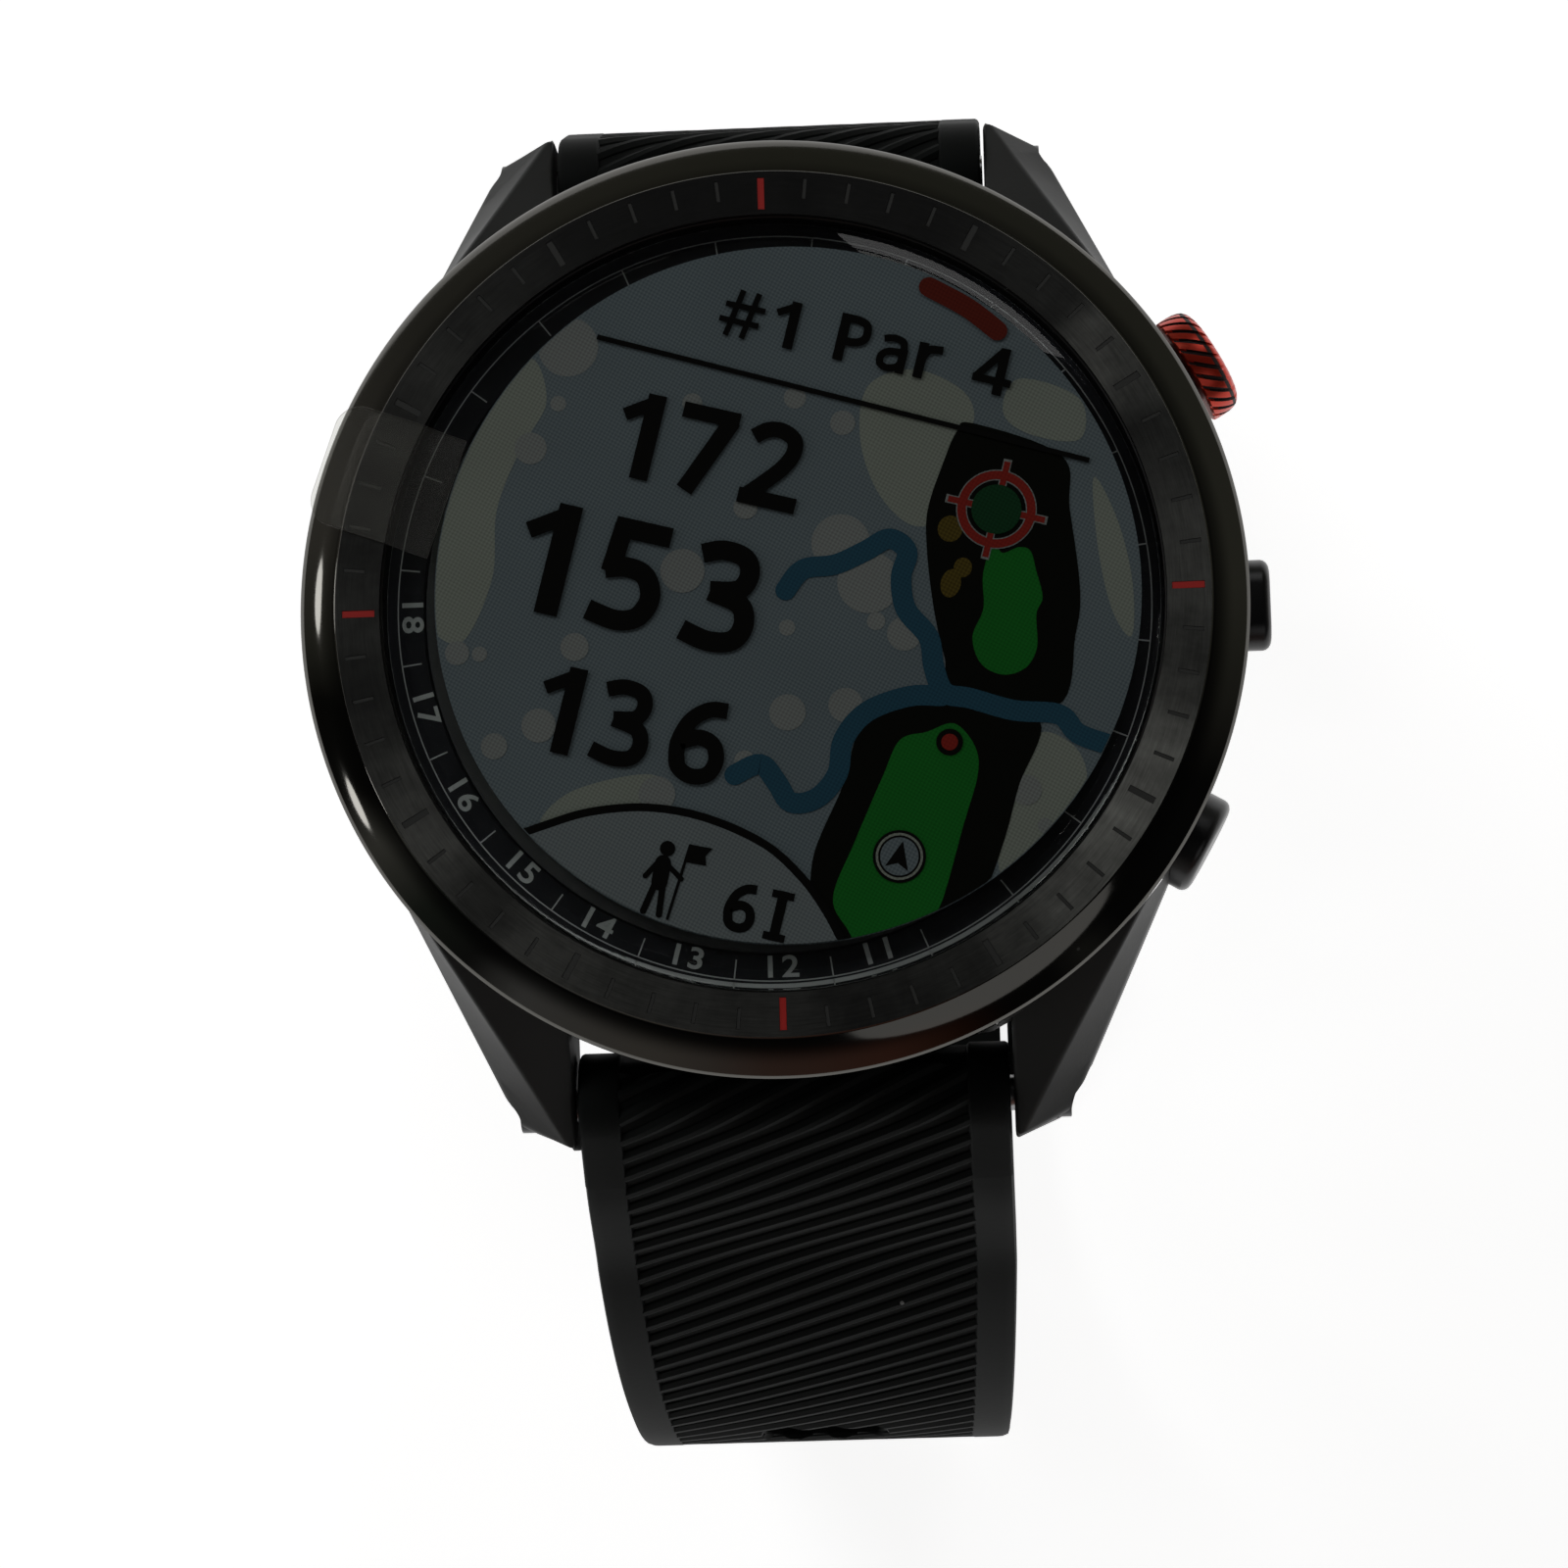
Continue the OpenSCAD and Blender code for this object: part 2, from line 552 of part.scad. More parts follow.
module lower_button_cap() {
    color([0.12, 0.12, 0.13]) on_button(-button_angle) union() {
        stem(cap_in + eps);
        post(low_d / 2, cap_in, low_out - 0.3);
        post(low_d / 2 - 0.3, low_out - 0.3 - eps, low_out);
    }
}
module button_seal() {
    translate([0, 0, seal_place]) rotate_extrude($fn = 48)
        translate([stem_d / 2 - 0.13, 0]) circle(r = 0.15, $fn = 24);
}
module button_clip() {
    difference() {
        post(clip_r, clip_out - clip_t, clip_out);
        post(stem_d / 2, clip_out - 2, clip_out + 1);
    }
}
module upper_button_seal() { color([0.1, 0.1, 0.1]) on_button(button_angle) button_seal(); }
module middle_button_seal() { color([0.1, 0.1, 0.1]) on_button(0) button_seal(); }
module lower_button_seal() { color([0.1, 0.1, 0.1]) on_button(-button_angle) button_seal(); }
module upper_button_clip() { color([0.7, 0.7, 0.72]) on_button(button_angle) button_clip(); }
module middle_button_clip() { color([0.7, 0.7, 0.72]) on_button(0) button_clip(); }
module lower_button_clip() { color([0.7, 0.7, 0.72]) on_button(-button_angle) button_clip(); }
module button_spring(to) { coil(1.25, 0.16, pocket_in + 0.02, to - 0.02, 2.5); }
module upper_button_spring() {
    color([0.7, 0.7, 0.72]) on_button(button_angle) button_spring(pocket_in + neck_in);
}
module middle_button_spring() { color([0.7, 0.7, 0.72]) on_button(0) button_spring(cap_in); }
module lower_button_spring() { color([0.7, 0.7, 0.72]) on_button(-button_angle) button_spring(cap_in); }

// Strap ends and latches

latch_l = 7;                    // far end of a latch and of its thumb tab, from the lug bar
tab_in = 4.1;                   // near end of the thumb tab
channel_l = tray_l - 0.6;       // far end of the latch's channel

// Outline of a metal end: hook around the lug bar
module hook_outline() {
    circle(r = hook_r);
    box2(0, hook_r + 0.9, -hook_r, hook_r);
}
module end_piece_at(lower) {
    if (lower) at_lower_end() children();
    else at_upper_end() children();
}
module strap_end(lower) {
    y = lower ? -bar_y : bar_y;
    difference() {
        union() {
            across(strap_w) end_piece_at(lower) hook_outline();
            across(tray_w) end_piece_at(lower) box2(hook_r, tray_l, -hook_r - 0.05, -0.2);
        }
        translate([0, y, bar_z]) rod_across(bar_r + run_fit, 2 * strap_w);
        // mouth of the hook, on the wrist side
        across(2 * strap_w) end_piece_at(lower) box2(-bar_r - run_fit, bar_r + run_fit, -2 * hook_r, 0);
        // channel of the latch and the slot for its thumb tab
        across(latch_w + 2 * slip) end_piece_at(lower) box2(-1.5, channel_l, -1.97, -1.03);
        across(6) end_piece_at(lower) box2(tab_in - 0.3, latch_l + latch_travel + 0.3, -hook_r - 1, -1.9);
    }
}
module latch(lower) {
    across(latch_w) end_piece_at(lower) box2(-1.2, latch_l, -1.9, -1.1);
    across(5) end_piece_at(lower) box2(tab_in, latch_l, -3.1, -1.9 + eps);
}
// Flat zigzag spring behind a latch, shared by both ends
module latch_spring(lower) {
    x0 = latch_l + 0.05;
    x1 = channel_l - 0.05;
    waves = 4;
    wire = 0.25;
    half_w = 3;
    pitch = (x1 - x0 - wire) / waves;
    module leaf(i) {
        near = x0 + i * pitch;
        far = near + pitch;
        y_near = i % 2 == 0 ? -half_w : half_w;
        polygon([[near, y_near], [near + wire, y_near], [far + wire, -y_near], [far, -y_near]]);
    }
    y = lower ? -bar_y : bar_y;
    translate([0, y, bar_z]) rotate([lower ? 180 + lower_slope : -upper_slope, 0, 0])
        mirror([0, 0, lower ? 1 : 0]) translate([0, 0, -1.75]) linear_extrude(0.5)
            rotate(90) mirror([0, 1]) for (i = [0:waves - 1]) leaf(i);
}
module lower_strap_end() { color([0.45, 0.45, 0.47]) strap_end(true); }
module upper_strap_end() { color([0.45, 0.45, 0.47]) strap_end(false); }
module lower_latch() { color([0.3, 0.3, 0.32]) latch(true); }
module upper_latch() { color([0.3, 0.3, 0.32]) latch(false); }
module lower_latch_spring() { color([0.7, 0.7, 0.72]) latch_spring(true); }
module upper_latch_spring() { color([0.7, 0.7, 0.72]) latch_spring(false); }

// Strap halves

// Widths of the strap, seen along y: wide at the lugs, then tapering to the tail's width
module strap_width(z_wide, z_narrow) {
    rotate([90, 0, 0]) translate([0, 0, -3 * bezel_r]) linear_extrude(6 * bezel_r)
        polygon([[-strap_w / 2, dial_h], [-strap_w / 2, z_wide], [-tail_w / 2, z_narrow],
                 [-tail_w / 2, -1], [tail_w / 2, -1], [tail_w / 2, z_narrow],
                 [strap_w / 2, z_wide], [strap_w / 2, dial_h]]);
}
module lower_strap() {
    step = 2;
    marks = concat([for (s = [strap_in:step:tail_len - 0.5]) s], [tail_len]);
    route = [for (s = marks) lower_at(s)];
    n = len(marks);
    slots = [for (i = [-20:20]) let (s = slot_at + i * slot_pitch)
             if (s > tray_l + 17 && s < tail_len - tail_guard) s];
    color([0.09, 0.09, 0.10]) difference() {
        intersection() {
            across(strap_w + 1) polygon(concat(
                [for (i = [0:n - 1]) beside(route[i], half_out(marks[i]), 1)],
                [for (i = [n - 1:-1:0]) beside(route[i], -half_in(marks[i]), 1)]));
            strap_width(bar_z - 8, bar_z - 25);
        }
        across(tray_w + 2 * slip) at_lower_end() box2(0, tray_l + slip, -2 * hook_r, -0.1);
        for (s = slots) {
            p = lower_at(s);
            across(slot_w) translate([p[0], p[1]]) rotate(p[2]) square([slot_l, 3 * strap_t], center = true);
        }
    }
}
module upper_strap() {
    step = 2;
    marks = concat([for (s = [strap_in:step:upper_len - 0.5]) s], [upper_len]);
    route = [for (s = marks) upper_at(s)];
    n = len(marks);
    color([0.09, 0.09, 0.10]) difference() {
        union() {
            intersection() {
                across(strap_w + 1) polygon(concat(
                    [for (i = [0:n - 1]) beside(route[i], half_out(marks[i]), -1)],
                    [for (i = [n - 1:-1:0]) beside(route[i], -half_in(marks[i]), -1)]));
                strap_width(bar_z - 8, bar_z - 25);
            }
            translate([0, buckle_y, band_z]) rod_across(strap_t / 2, tail_w);
        }
        across(tray_w + 2 * slip) at_upper_end() box2(0, tray_l + slip, -2 * hook_r, -0.1);
        translate([0, buckle_y, band_z]) rod_across(pin_d / 2 + 0.02, 2 * strap_w);
        // notch for the tang
        translate([-tang_w / 2 - 0.3, buckle_y - 3, band_z - 3]) cube([tang_w + 0.6, 3 + 2.2, 6]);
    }
}

// Buckle and keepers

module keeper(y, length) {
    inner_w = tail_w + 2 * keeper_gap;
    low = keeper_t;
    high = band_z + strap_t / 2 + keeper_gap;
    difference() {
        translate([-inner_w / 2 - keeper_t, y - length / 2, 0])
            cube([inner_w + 2 * keeper_t, length, high + keeper_t]);
        translate([-inner_w / 2, y - length, low]) cube([inner_w, 2 * length, high - low]);
    }
}
module fixed_keeper() { color([0.1, 0.1, 0.11]) keeper(0, fixed_l); }
module free_keeper() { color([0.1, 0.1, 0.11]) keeper(fixed_l / 2 + 2.8 + free_l / 2, free_l); }
module buckle_pin() {
    color([0.65, 0.65, 0.67]) translate([0, buckle_y, band_z])
        rod_across(pin_d / 2, tail_w + 2 * arm_w + 0.5);
}
module buckle_frame() {
    inner = tail_w / 2 + 0.45;
    bar_t = keeper_t - 0.05;
    color([0.4, 0.4, 0.42]) difference() {
        union() {
            for (x_side = [-1, 1]) translate([x_side * (inner + arm_w / 2), 0, 0]) across(arm_w) {
                translate([buckle_y, band_z]) circle(r = 1.7);
                polygon([[buckle_y, band_z + 1.7], [buckle_y - 1.5, band_z + 1.5],
                         [buckle_y - frame_l, bar_t + 1], [buckle_y - frame_l, 0],
                         [buckle_y - frame_l + 2.4, 0], [buckle_y, band_z - 1.7]]);
            }
            translate([-inner - 0.2, buckle_y - frame_l, 0]) cube([2 * inner + 0.4, 2.1, bar_t]);
        }
        translate([0, buckle_y, band_z]) rod_across(pin_d / 2 + run_fit, 2 * strap_w);
        translate([-tang_w / 2 - 0.2, buckle_y - frame_l - 1, -1]) cube([tang_w + 0.4, 5, 1.62]);
    }
}
module buckle_tang() {
    top = keeper_t - 0.1;
    tip = -frame_l - 0.1;
    color([0.4, 0.4, 0.42]) difference() {
        across(tang_w) union() {
            translate([buckle_y, band_z]) circle(r = strap_t / 2);
            translate([buckle_y, band_z])
                polygon([[-1.25, 0], [-0.95, -strap_t / 2 - 0.1], [-1.05, top - band_z], [-8, top - band_z],
                         [-8.6, 0.5 - band_z], [tip, 0.5 - band_z], [tip, 0.08 - band_z],
                         [-8.3, 0.08 - band_z], [-7.6, 0.25 - band_z], [-0.5, 0.25 - band_z],
                         [-0.1, 0.7 - band_z], [-0.05, -strap_t / 2 - 0.1], [0.3, 0]]);
        }
        translate([0, buckle_y, band_z]) rod_across(pin_d / 2 + run_fit, 2 * strap_w);
    }
}

case_body();
bezel_ring();
display_lens();
screen_film();
lens_gasket();
numeral_ring();
display_panel();
display_frame();
display_flex();
antenna_ring();
main_board();
board_chips();
button_switches();
battery_cell();
inner_chassis();
vibration_motor();
rear_cover();
rear_cover_seal();
rear_cover_screws();
sensor_board();
sensor_window();
charge_port();
charge_contacts();
lower_lug_bar();
upper_lug_bar();
lug_screws();
upper_button_cap();
upper_button_seal();
upper_button_clip();
upper_button_spring();
middle_button_cap();
middle_button_seal();
middle_button_clip();
middle_button_spring();
lower_button_cap();
lower_button_seal();
lower_button_clip();
lower_button_spring();
lower_strap();
lower_strap_end();
lower_latch();
lower_latch_spring();
upper_strap();
upper_strap_end();
upper_latch();
upper_latch_spring();
fixed_keeper();
free_keeper();
buckle_pin();
buckle_frame();
buckle_tang();
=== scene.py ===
import math
import bpy
import bmesh
from mathutils import Matrix, Vector


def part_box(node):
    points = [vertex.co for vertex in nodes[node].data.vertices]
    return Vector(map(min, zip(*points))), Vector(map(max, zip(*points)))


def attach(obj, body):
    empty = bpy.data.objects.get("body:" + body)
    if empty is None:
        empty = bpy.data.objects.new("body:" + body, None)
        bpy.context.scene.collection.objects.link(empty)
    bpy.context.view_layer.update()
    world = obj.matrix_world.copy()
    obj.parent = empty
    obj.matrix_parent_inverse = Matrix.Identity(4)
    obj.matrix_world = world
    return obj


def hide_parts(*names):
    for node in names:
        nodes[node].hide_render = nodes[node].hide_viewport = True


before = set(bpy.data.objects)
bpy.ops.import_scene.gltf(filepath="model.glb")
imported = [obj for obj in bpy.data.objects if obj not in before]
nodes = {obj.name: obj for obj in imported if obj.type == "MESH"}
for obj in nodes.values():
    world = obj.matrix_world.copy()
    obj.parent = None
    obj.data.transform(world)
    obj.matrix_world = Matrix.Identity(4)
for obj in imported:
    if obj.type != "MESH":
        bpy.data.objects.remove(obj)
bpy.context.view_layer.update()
scene = bpy.context.scene
scene.view_settings.view_transform = "Standard"
mm = 0.001

# Places that every piece is measured from
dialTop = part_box("bezel_ring")[1].z / mm           # plane of the dial ring
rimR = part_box("bezel_ring")[1].x / mm - 0.008    # just inside the ring
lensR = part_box("display_lens")[1].x / mm
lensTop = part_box("display_lens")[1].z / mm
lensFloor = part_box("display_lens")[0].z / mm
barLow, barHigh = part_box("lower_lug_bar")
barY = -(barLow.y + barHigh.y) / 2 / mm
barZ = (barLow.z + barHigh.z) / 2 / mm
pinLow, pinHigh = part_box("buckle_pin")
buckleY = (pinLow.y + pinHigh.y) / 2 / mm
bandZ = (pinLow.z + pinHigh.z) / 2 / mm


# Mesh helpers

def addObject(name, mesh):
    obj = bpy.data.objects.new(name, mesh)
    scene.collection.objects.link(obj)
    return obj


def addMesh(name, points, faces, mats=(), faceMats=None, soft=32, turnOut=True):    # points in mm
    mesh = bpy.data.meshes.new(name)
    mesh.from_pydata([(x * mm, y * mm, z * mm) for x, y, z in points], [], faces)
    for mat in mats:
        mesh.materials.append(mat)
    if faceMats:
        mesh.polygons.foreach_set("material_index", faceMats)
    if turnOut:
        fixNormals(mesh)
    shadeSoft(mesh, soft)
    return addObject(name, mesh)


def fixNormals(mesh, merge=1e-7):
    bm = bmesh.new()
    bm.from_mesh(mesh)
    bmesh.ops.remove_doubles(bm, verts=bm.verts, dist=merge)
    bmesh.ops.recalc_face_normals(bm, faces=bm.faces)
    bm.to_mesh(mesh)
    bm.free()


def shadeSoft(mesh, angle=32):
    mesh.shade_smooth()
    mesh.set_sharp_from_angle(angle=math.radians(angle))
    mesh.update()


def bake(obj):    # puts the result of an object's modifiers into its mesh
    graph = bpy.context.evaluated_depsgraph_get()
    mesh = bpy.data.meshes.new_from_object(obj.evaluated_get(graph))
    obj.modifiers.clear()
    obj.data = mesh
    return obj


def cut(obj, cutter, selfMeeting=False):
    mod = obj.modifiers.new("cut", "BOOLEAN")
    mod.operation = "DIFFERENCE"
    mod.solver = "EXACT"
    mod.use_self = selfMeeting
    mod.material_mode = "INDEX"
    mod.object = cutter
    bpy.context.view_layer.update()
    bake(obj)
    bpy.data.objects.remove(cutter)
    return obj


def join(name, parts, soft=32):    # one object from several, keeping each one's materials
    mats, bm = [], bmesh.new()
    for part in parts:
        places = []
        for mat in part.data.materials:
            if mat not in mats:
                mats.append(mat)
            places.append(mats.index(mat))
        start = len(bm.faces)
        bm.from_mesh(part.data)
        bm.faces.ensure_lookup_table()
        for face in bm.faces[start:]:
            face.material_index = places[face.material_index] if places else 0
        bpy.data.objects.remove(part)
    mesh = bpy.data.meshes.new(name)
    bm.to_mesh(mesh)
    bm.free()
    for mat in mats:
        mesh.materials.append(mat)
    shadeSoft(mesh, soft)
    return addObject(name, mesh)


def rounded(obj, width, segments=2, angle=30):    # bevels an object's hard edges
    mod = obj.modifiers.new("edges", "BEVEL")
    mod.width = width * mm
    mod.segments = segments
    mod.limit_method = "ANGLE"
    mod.angle_limit = math.radians(angle)
    mod.harden_normals = False
    mod.use_clamp_overlap = True
    bpy.context.view_layer.update()
    bake(obj)
    shadeSoft(obj.data, 40)
    return obj


def softened(nodeName, name, mat, width, segments=2):    # a copy of a CAD node with its edges broken
    mesh = nodes[nodeName].data.copy()
    mesh.name = name
    bm = bmesh.new()
    bm.from_mesh(mesh)
    bmesh.ops.remove_doubles(bm, verts=bm.verts, dist=2e-6)
    bmesh.ops.dissolve_degenerate(bm, edges=bm.edges, dist=1e-6)
    bmesh.ops.dissolve_limit(bm, verts=bm.verts, edges=bm.edges, angle_limit=math.radians(1))
    bmesh.ops.recalc_face_normals(bm, faces=bm.faces)
    bm.to_mesh(mesh)
    bm.free()
    mesh.materials.clear()
    mesh.materials.append(mat)
    for poly in mesh.polygons:
        poly.material_index = 0
    return rounded(addObject(name, mesh), width, segments)


def lathe(name, profile, mats, bandMats=None, steps=240, closed=True, soft=32, start=0.0):    # profile: radius, height
    count = len(profile)
    points = []
    for i in range(steps):
        a = start + 2 * math.pi * i / steps
        points += [(r * math.cos(a), r * math.sin(a), dialTop + z) for r, z in profile]
    faces, faceMats = [], []
    for i in range(steps):
        k = (i + 1) % steps
        for j in range(count if closed else count - 1):
            m = (j + 1) % count
            faces.append((i * count + j, k * count + j, k * count + m, i * count + m))
            faceMats.append(bandMats[j] if bandMats else 0)
    return addMesh(name, points, faces, mats, faceMats, soft)


def loft(name, rings, mats, faceMats=None, soft=32, capMat=0):    # a skin over closed rings of equal count
    count = len(rings[0])
    points = [p for ring in rings for p in ring]
    faces, picks = [], []
    for i in range(len(rings) - 1):
        for j in range(count):
            m = (j + 1) % count
            faces.append((i * count + j, i * count + m, (i + 1) * count + m, (i + 1) * count + j))
            picks.append(faceMats[j] if faceMats else 0)
    faces.append(tuple(range(count)))
    faces.append(tuple(range((len(rings) - 1) * count, len(rings) * count)))
    picks += [capMat, capMat]
    return addMesh(name, points, faces, mats, picks, soft)


def rod(name, start, end, r, mats=(), sides=48, r2=None):    # a round bar between two points
    a, b = Vector(start), Vector(end)
    turn = (b - a).to_track_quat("Z", "Y")
    rings = []
    for centre, radius in ((a, r), (b, r2 or r)):
        rings.append([tuple(centre + turn @ Vector((radius * math.cos(2 * math.pi * k / sides),
                                                     radius * math.sin(2 * math.pi * k / sides), 0)))
                      for k in range(sides)])
    return loft(name, rings, mats)


def block(name, low, high, mats=()):
    (x0, y0, z0), (x1, y1, z1) = low, high
    lower = [(x0, y0, z0), (x1, y0, z0), (x1, y1, z0), (x0, y1, z0)]
    return loft(name, [lower, [(x, y, z1) for x, y, z in lower]], mats)


def eased(x):
    x = min(max(x, 0.0), 1.0)
    return x * x * (3 - 2 * x)


def lerp(a, b, t):
    return a + (b - a) * t


def curveThrough(points, closed=True, steps=8):    # a smooth run through flat points
    n = len(points)
    out = []
    for i in range(n if closed else n - 1):
        p0 = points[(i - 1) % n] if closed or i > 0 else points[i]
        p1, p2 = points[i], points[(i + 1) % n]
        p3 = points[(i + 2) % n] if closed or i + 2 < n else p2
        for k in range(steps):
            t = k / steps
            out.append(tuple(0.5 * (2 * b + (c - a) * t + (2 * a - 5 * b + 4 * c - d) * t * t
                                    + (3 * b - a - 3 * c + d) * t ** 3)
                             for a, b, c, d in zip(p0, p1, p2, p3)))
    if not closed:
        out.append(tuple(points[-1]))
    return out


# Shader helpers

def group(name, ins, outs):    # an empty node group with named sockets
    tree = bpy.data.node_groups.new(name, "ShaderNodeTree")
    for label, kind, value in ins:
        socket = tree.interface.new_socket(label, in_out="INPUT", socket_type="NodeSocket" + kind)
        if value is not None:
            socket.default_value = value
    for label, kind in outs:
        tree.interface.new_socket(label, in_out="OUTPUT", socket_type="NodeSocket" + kind)
    return tree, tree.nodes.new("NodeGroupInput"), tree.nodes.new("NodeGroupOutput")


def put(tree, kind, inputs=None, **settings):    # adds a node; a socket given as an input is linked
    node = tree.nodes.new(kind)
    for key, value in settings.items():
        setattr(node, key, value)
    for key, value in (inputs or {}).items():
        socket = node.inputs[key]
        if isinstance(value, bpy.types.NodeSocket):
            tree.links.new(value, socket)
        else:
            socket.default_value = value
    return node


def maths(tree, operation, a, b=0.0, c=0.0):
    return put(tree, "ShaderNodeMath", {0: a, 1: b, 2: c}, operation=operation).outputs[0]


def mixColour(tree, share, a, b, blend="MIX"):
    return put(tree, "ShaderNodeMix", {0: share, 6: a, 7: b}, data_type="RGBA", blend_type=blend).outputs[2]


def objectPlace(tree):
    return put(tree, "ShaderNodeTexCoord").outputs["Object"]


def makeGrainGroup():    # fine moulded or blasted surface: height for bump, and a mask that drifts slowly
    tree, given, result = group("mouldedGrain", [("Vector", "Vector", None), ("Scale", "Float", 3000.0),
                                                 ("Drift", "Float", 120.0)],
                                [("Height", "Float"), ("Drift", "Float")])
    fine = put(tree, "ShaderNodeTexNoise",
               {"Vector": given.outputs["Vector"], "Scale": given.outputs["Scale"],
                                            "Detail": 3.0, "Roughness": 0.6})
    cells = put(tree, "ShaderNodeTexVoronoi", {"Vector": given.outputs["Vector"],
                                               "Scale": given.outputs["Scale"]}, feature="F1")
    slow = put(tree, "ShaderNodeTexNoise",
               {"Vector": given.outputs["Vector"], "Scale": given.outputs["Drift"],
                                            "Detail": 4.0})
    height = maths(tree, "MULTIPLY_ADD", cells.outputs["Distance"], 0.5, fine.outputs["Fac"])
    tree.links.new(height, result.inputs["Height"])
    tree.links.new(slow.outputs["Fac"], result.inputs["Drift"])
    return tree


def makeDustGroup():    # scattered specks and short hairlines, as a mask from 0 to 1
    tree, given, result = group("dustSpecks", [("Vector", "Vector", None), ("Density", "Float", 420.0),
                                               ("Size", "Float", 0.07), ("Amount", "Float", 0.35)],
                                [("Mask", "Float")])
    cells = put(tree, "ShaderNodeTexVoronoi", {"Vector": given.outputs["Vector"],
                                               "Scale": given.outputs["Density"], "Randomness": 1.0})
    chosen = put(tree, "ShaderNodeSeparateColor", {"Color": cells.outputs["Color"]})
    speck = maths(tree, "LESS_THAN", cells.outputs["Distance"],
                  maths(tree, "MULTIPLY", given.outputs["Size"], chosen.outputs[1]))
    kept = maths(tree, "LESS_THAN", chosen.outputs[0], given.outputs["Amount"])
    tree.links.new(maths(tree, "MULTIPLY", speck, kept), result.inputs["Mask"])
    return tree


def makeBrushGroup():    # lines brushed round the dial's axis, in patches of changing strength; the patches also serve as painted sheen in the plating's colour
    tree, given, result = group("ringBrushing", [("Vector", "Vector", None), ("Fineness", "Float", 9000.0)],
                                [("Height", "Float"), ("Patch", "Float")])
    parts = put(tree, "ShaderNodeSeparateXYZ", {"Vector": given.outputs["Vector"]})
    x, y = parts.outputs[0], parts.outputs[1]
    radius = maths(tree, "SQRT", maths(tree, "ADD", maths(tree, "MULTIPLY", x, x),
                                       maths(tree, "MULTIPLY", y, y)))
    angle = maths(tree, "ARCTAN2", y, x)
    streak = put(tree, "ShaderNodeCombineXYZ", {0: maths(tree, "MULTIPLY", radius, given.outputs["Fineness"]),
                                                1: maths(tree, "MULTIPLY", angle, 9.0), 2: 0.0})
    lines = put(tree, "ShaderNodeTexNoise", {"Vector": streak.outputs[0], "Scale": 1.0, "Detail": 5.0,
                                             "Roughness": 0.75})
    sector = put(tree, "ShaderNodeCombineXYZ", {0: maths(tree, "MULTIPLY", radius, 90.0),
                                                1: maths(tree, "MULTIPLY", angle, 3.2), 2: 4.0})
    patch = put(tree, "ShaderNodeTexNoise", {"Vector": sector.outputs[0], "Scale": 1.3, "Detail": 5.0,
                                             "Roughness": 0.6})
    tree.links.new(lines.outputs["Fac"], result.inputs["Height"])
    tree.links.new(patch.outputs["Fac"], result.inputs["Patch"])
    return tree


def makeDotsGroup():    # the dot screen of a printed picture: 1 on a dot, 0 between dots
    tree, given, result = group("dotScreen", [("Vector", "Vector", None), ("Pitch", "Float", 0.00025),
                                              ("Turn", "Float", -15.0)], [("Dots", "Float")])
    turned = put(tree, "ShaderNodeVectorRotate", {"Vector": given.outputs["Vector"],
                                                  "Angle": maths(tree, "RADIANS", given.outputs["Turn"])},
                 rotation_type="Z_AXIS")
    parts = put(tree, "ShaderNodeSeparateXYZ", {"Vector": turned.outputs[0]})
    rate = maths(tree, "DIVIDE", 6.28318, given.outputs["Pitch"])
    waves = [maths(tree, "SINE", maths(tree, "MULTIPLY", parts.outputs[k], rate)) for k in (0, 1)]
    raised = maths(tree, "MULTIPLY_ADD", maths(tree, "MULTIPLY", waves[0], waves[1]), 0.5, 0.5)
    tree.links.new(raised, result.inputs["Dots"])
    return tree


grainGroup = makeGrainGroup()
dustGroup = makeDustGroup()
brushGroup = makeBrushGroup()
dotsGroup = makeDotsGroup()


def grouped(tree, source, inputs=None):
    node = tree.nodes.new("ShaderNodeGroup")
    node.node_tree = source
    for key, value in (inputs or {}).items():
        if isinstance(value, bpy.types.NodeSocket):
            tree.links.new(value, node.inputs[key])
        else:
            node.inputs[key].default_value = value
    return node


def newMaterial(name, roughness=0.5, metallic=0.0, coat=0.0, coatRoughness=0.1, specular=0.5, ior=1.5):
    mat = bpy.data.materials.new(name)
    mat.use_nodes = True
    tree = mat.node_tree
    shader = tree.nodes["Principled BSDF"]
    shader.inputs["Roughness"].default_value = roughness
    shader.inputs["Metallic"].default_value = metallic
    shader.inputs["Coat Weight"].default_value = coat
    shader.inputs["Coat Roughness"].default_value = coatRoughness
    shader.inputs["Specular IOR Level"].default_value = specular
    shader.inputs["IOR"].default_value = ior
    return mat, tree, shader


def bumpInto(tree, shader, height, strength, depth):
    bump = put(tree, "ShaderNodeBump", {"Height": height, "Strength": strength, "Distance": depth * mm})
    tree.links.new(bump.outputs[0], shader.inputs["Normal"])


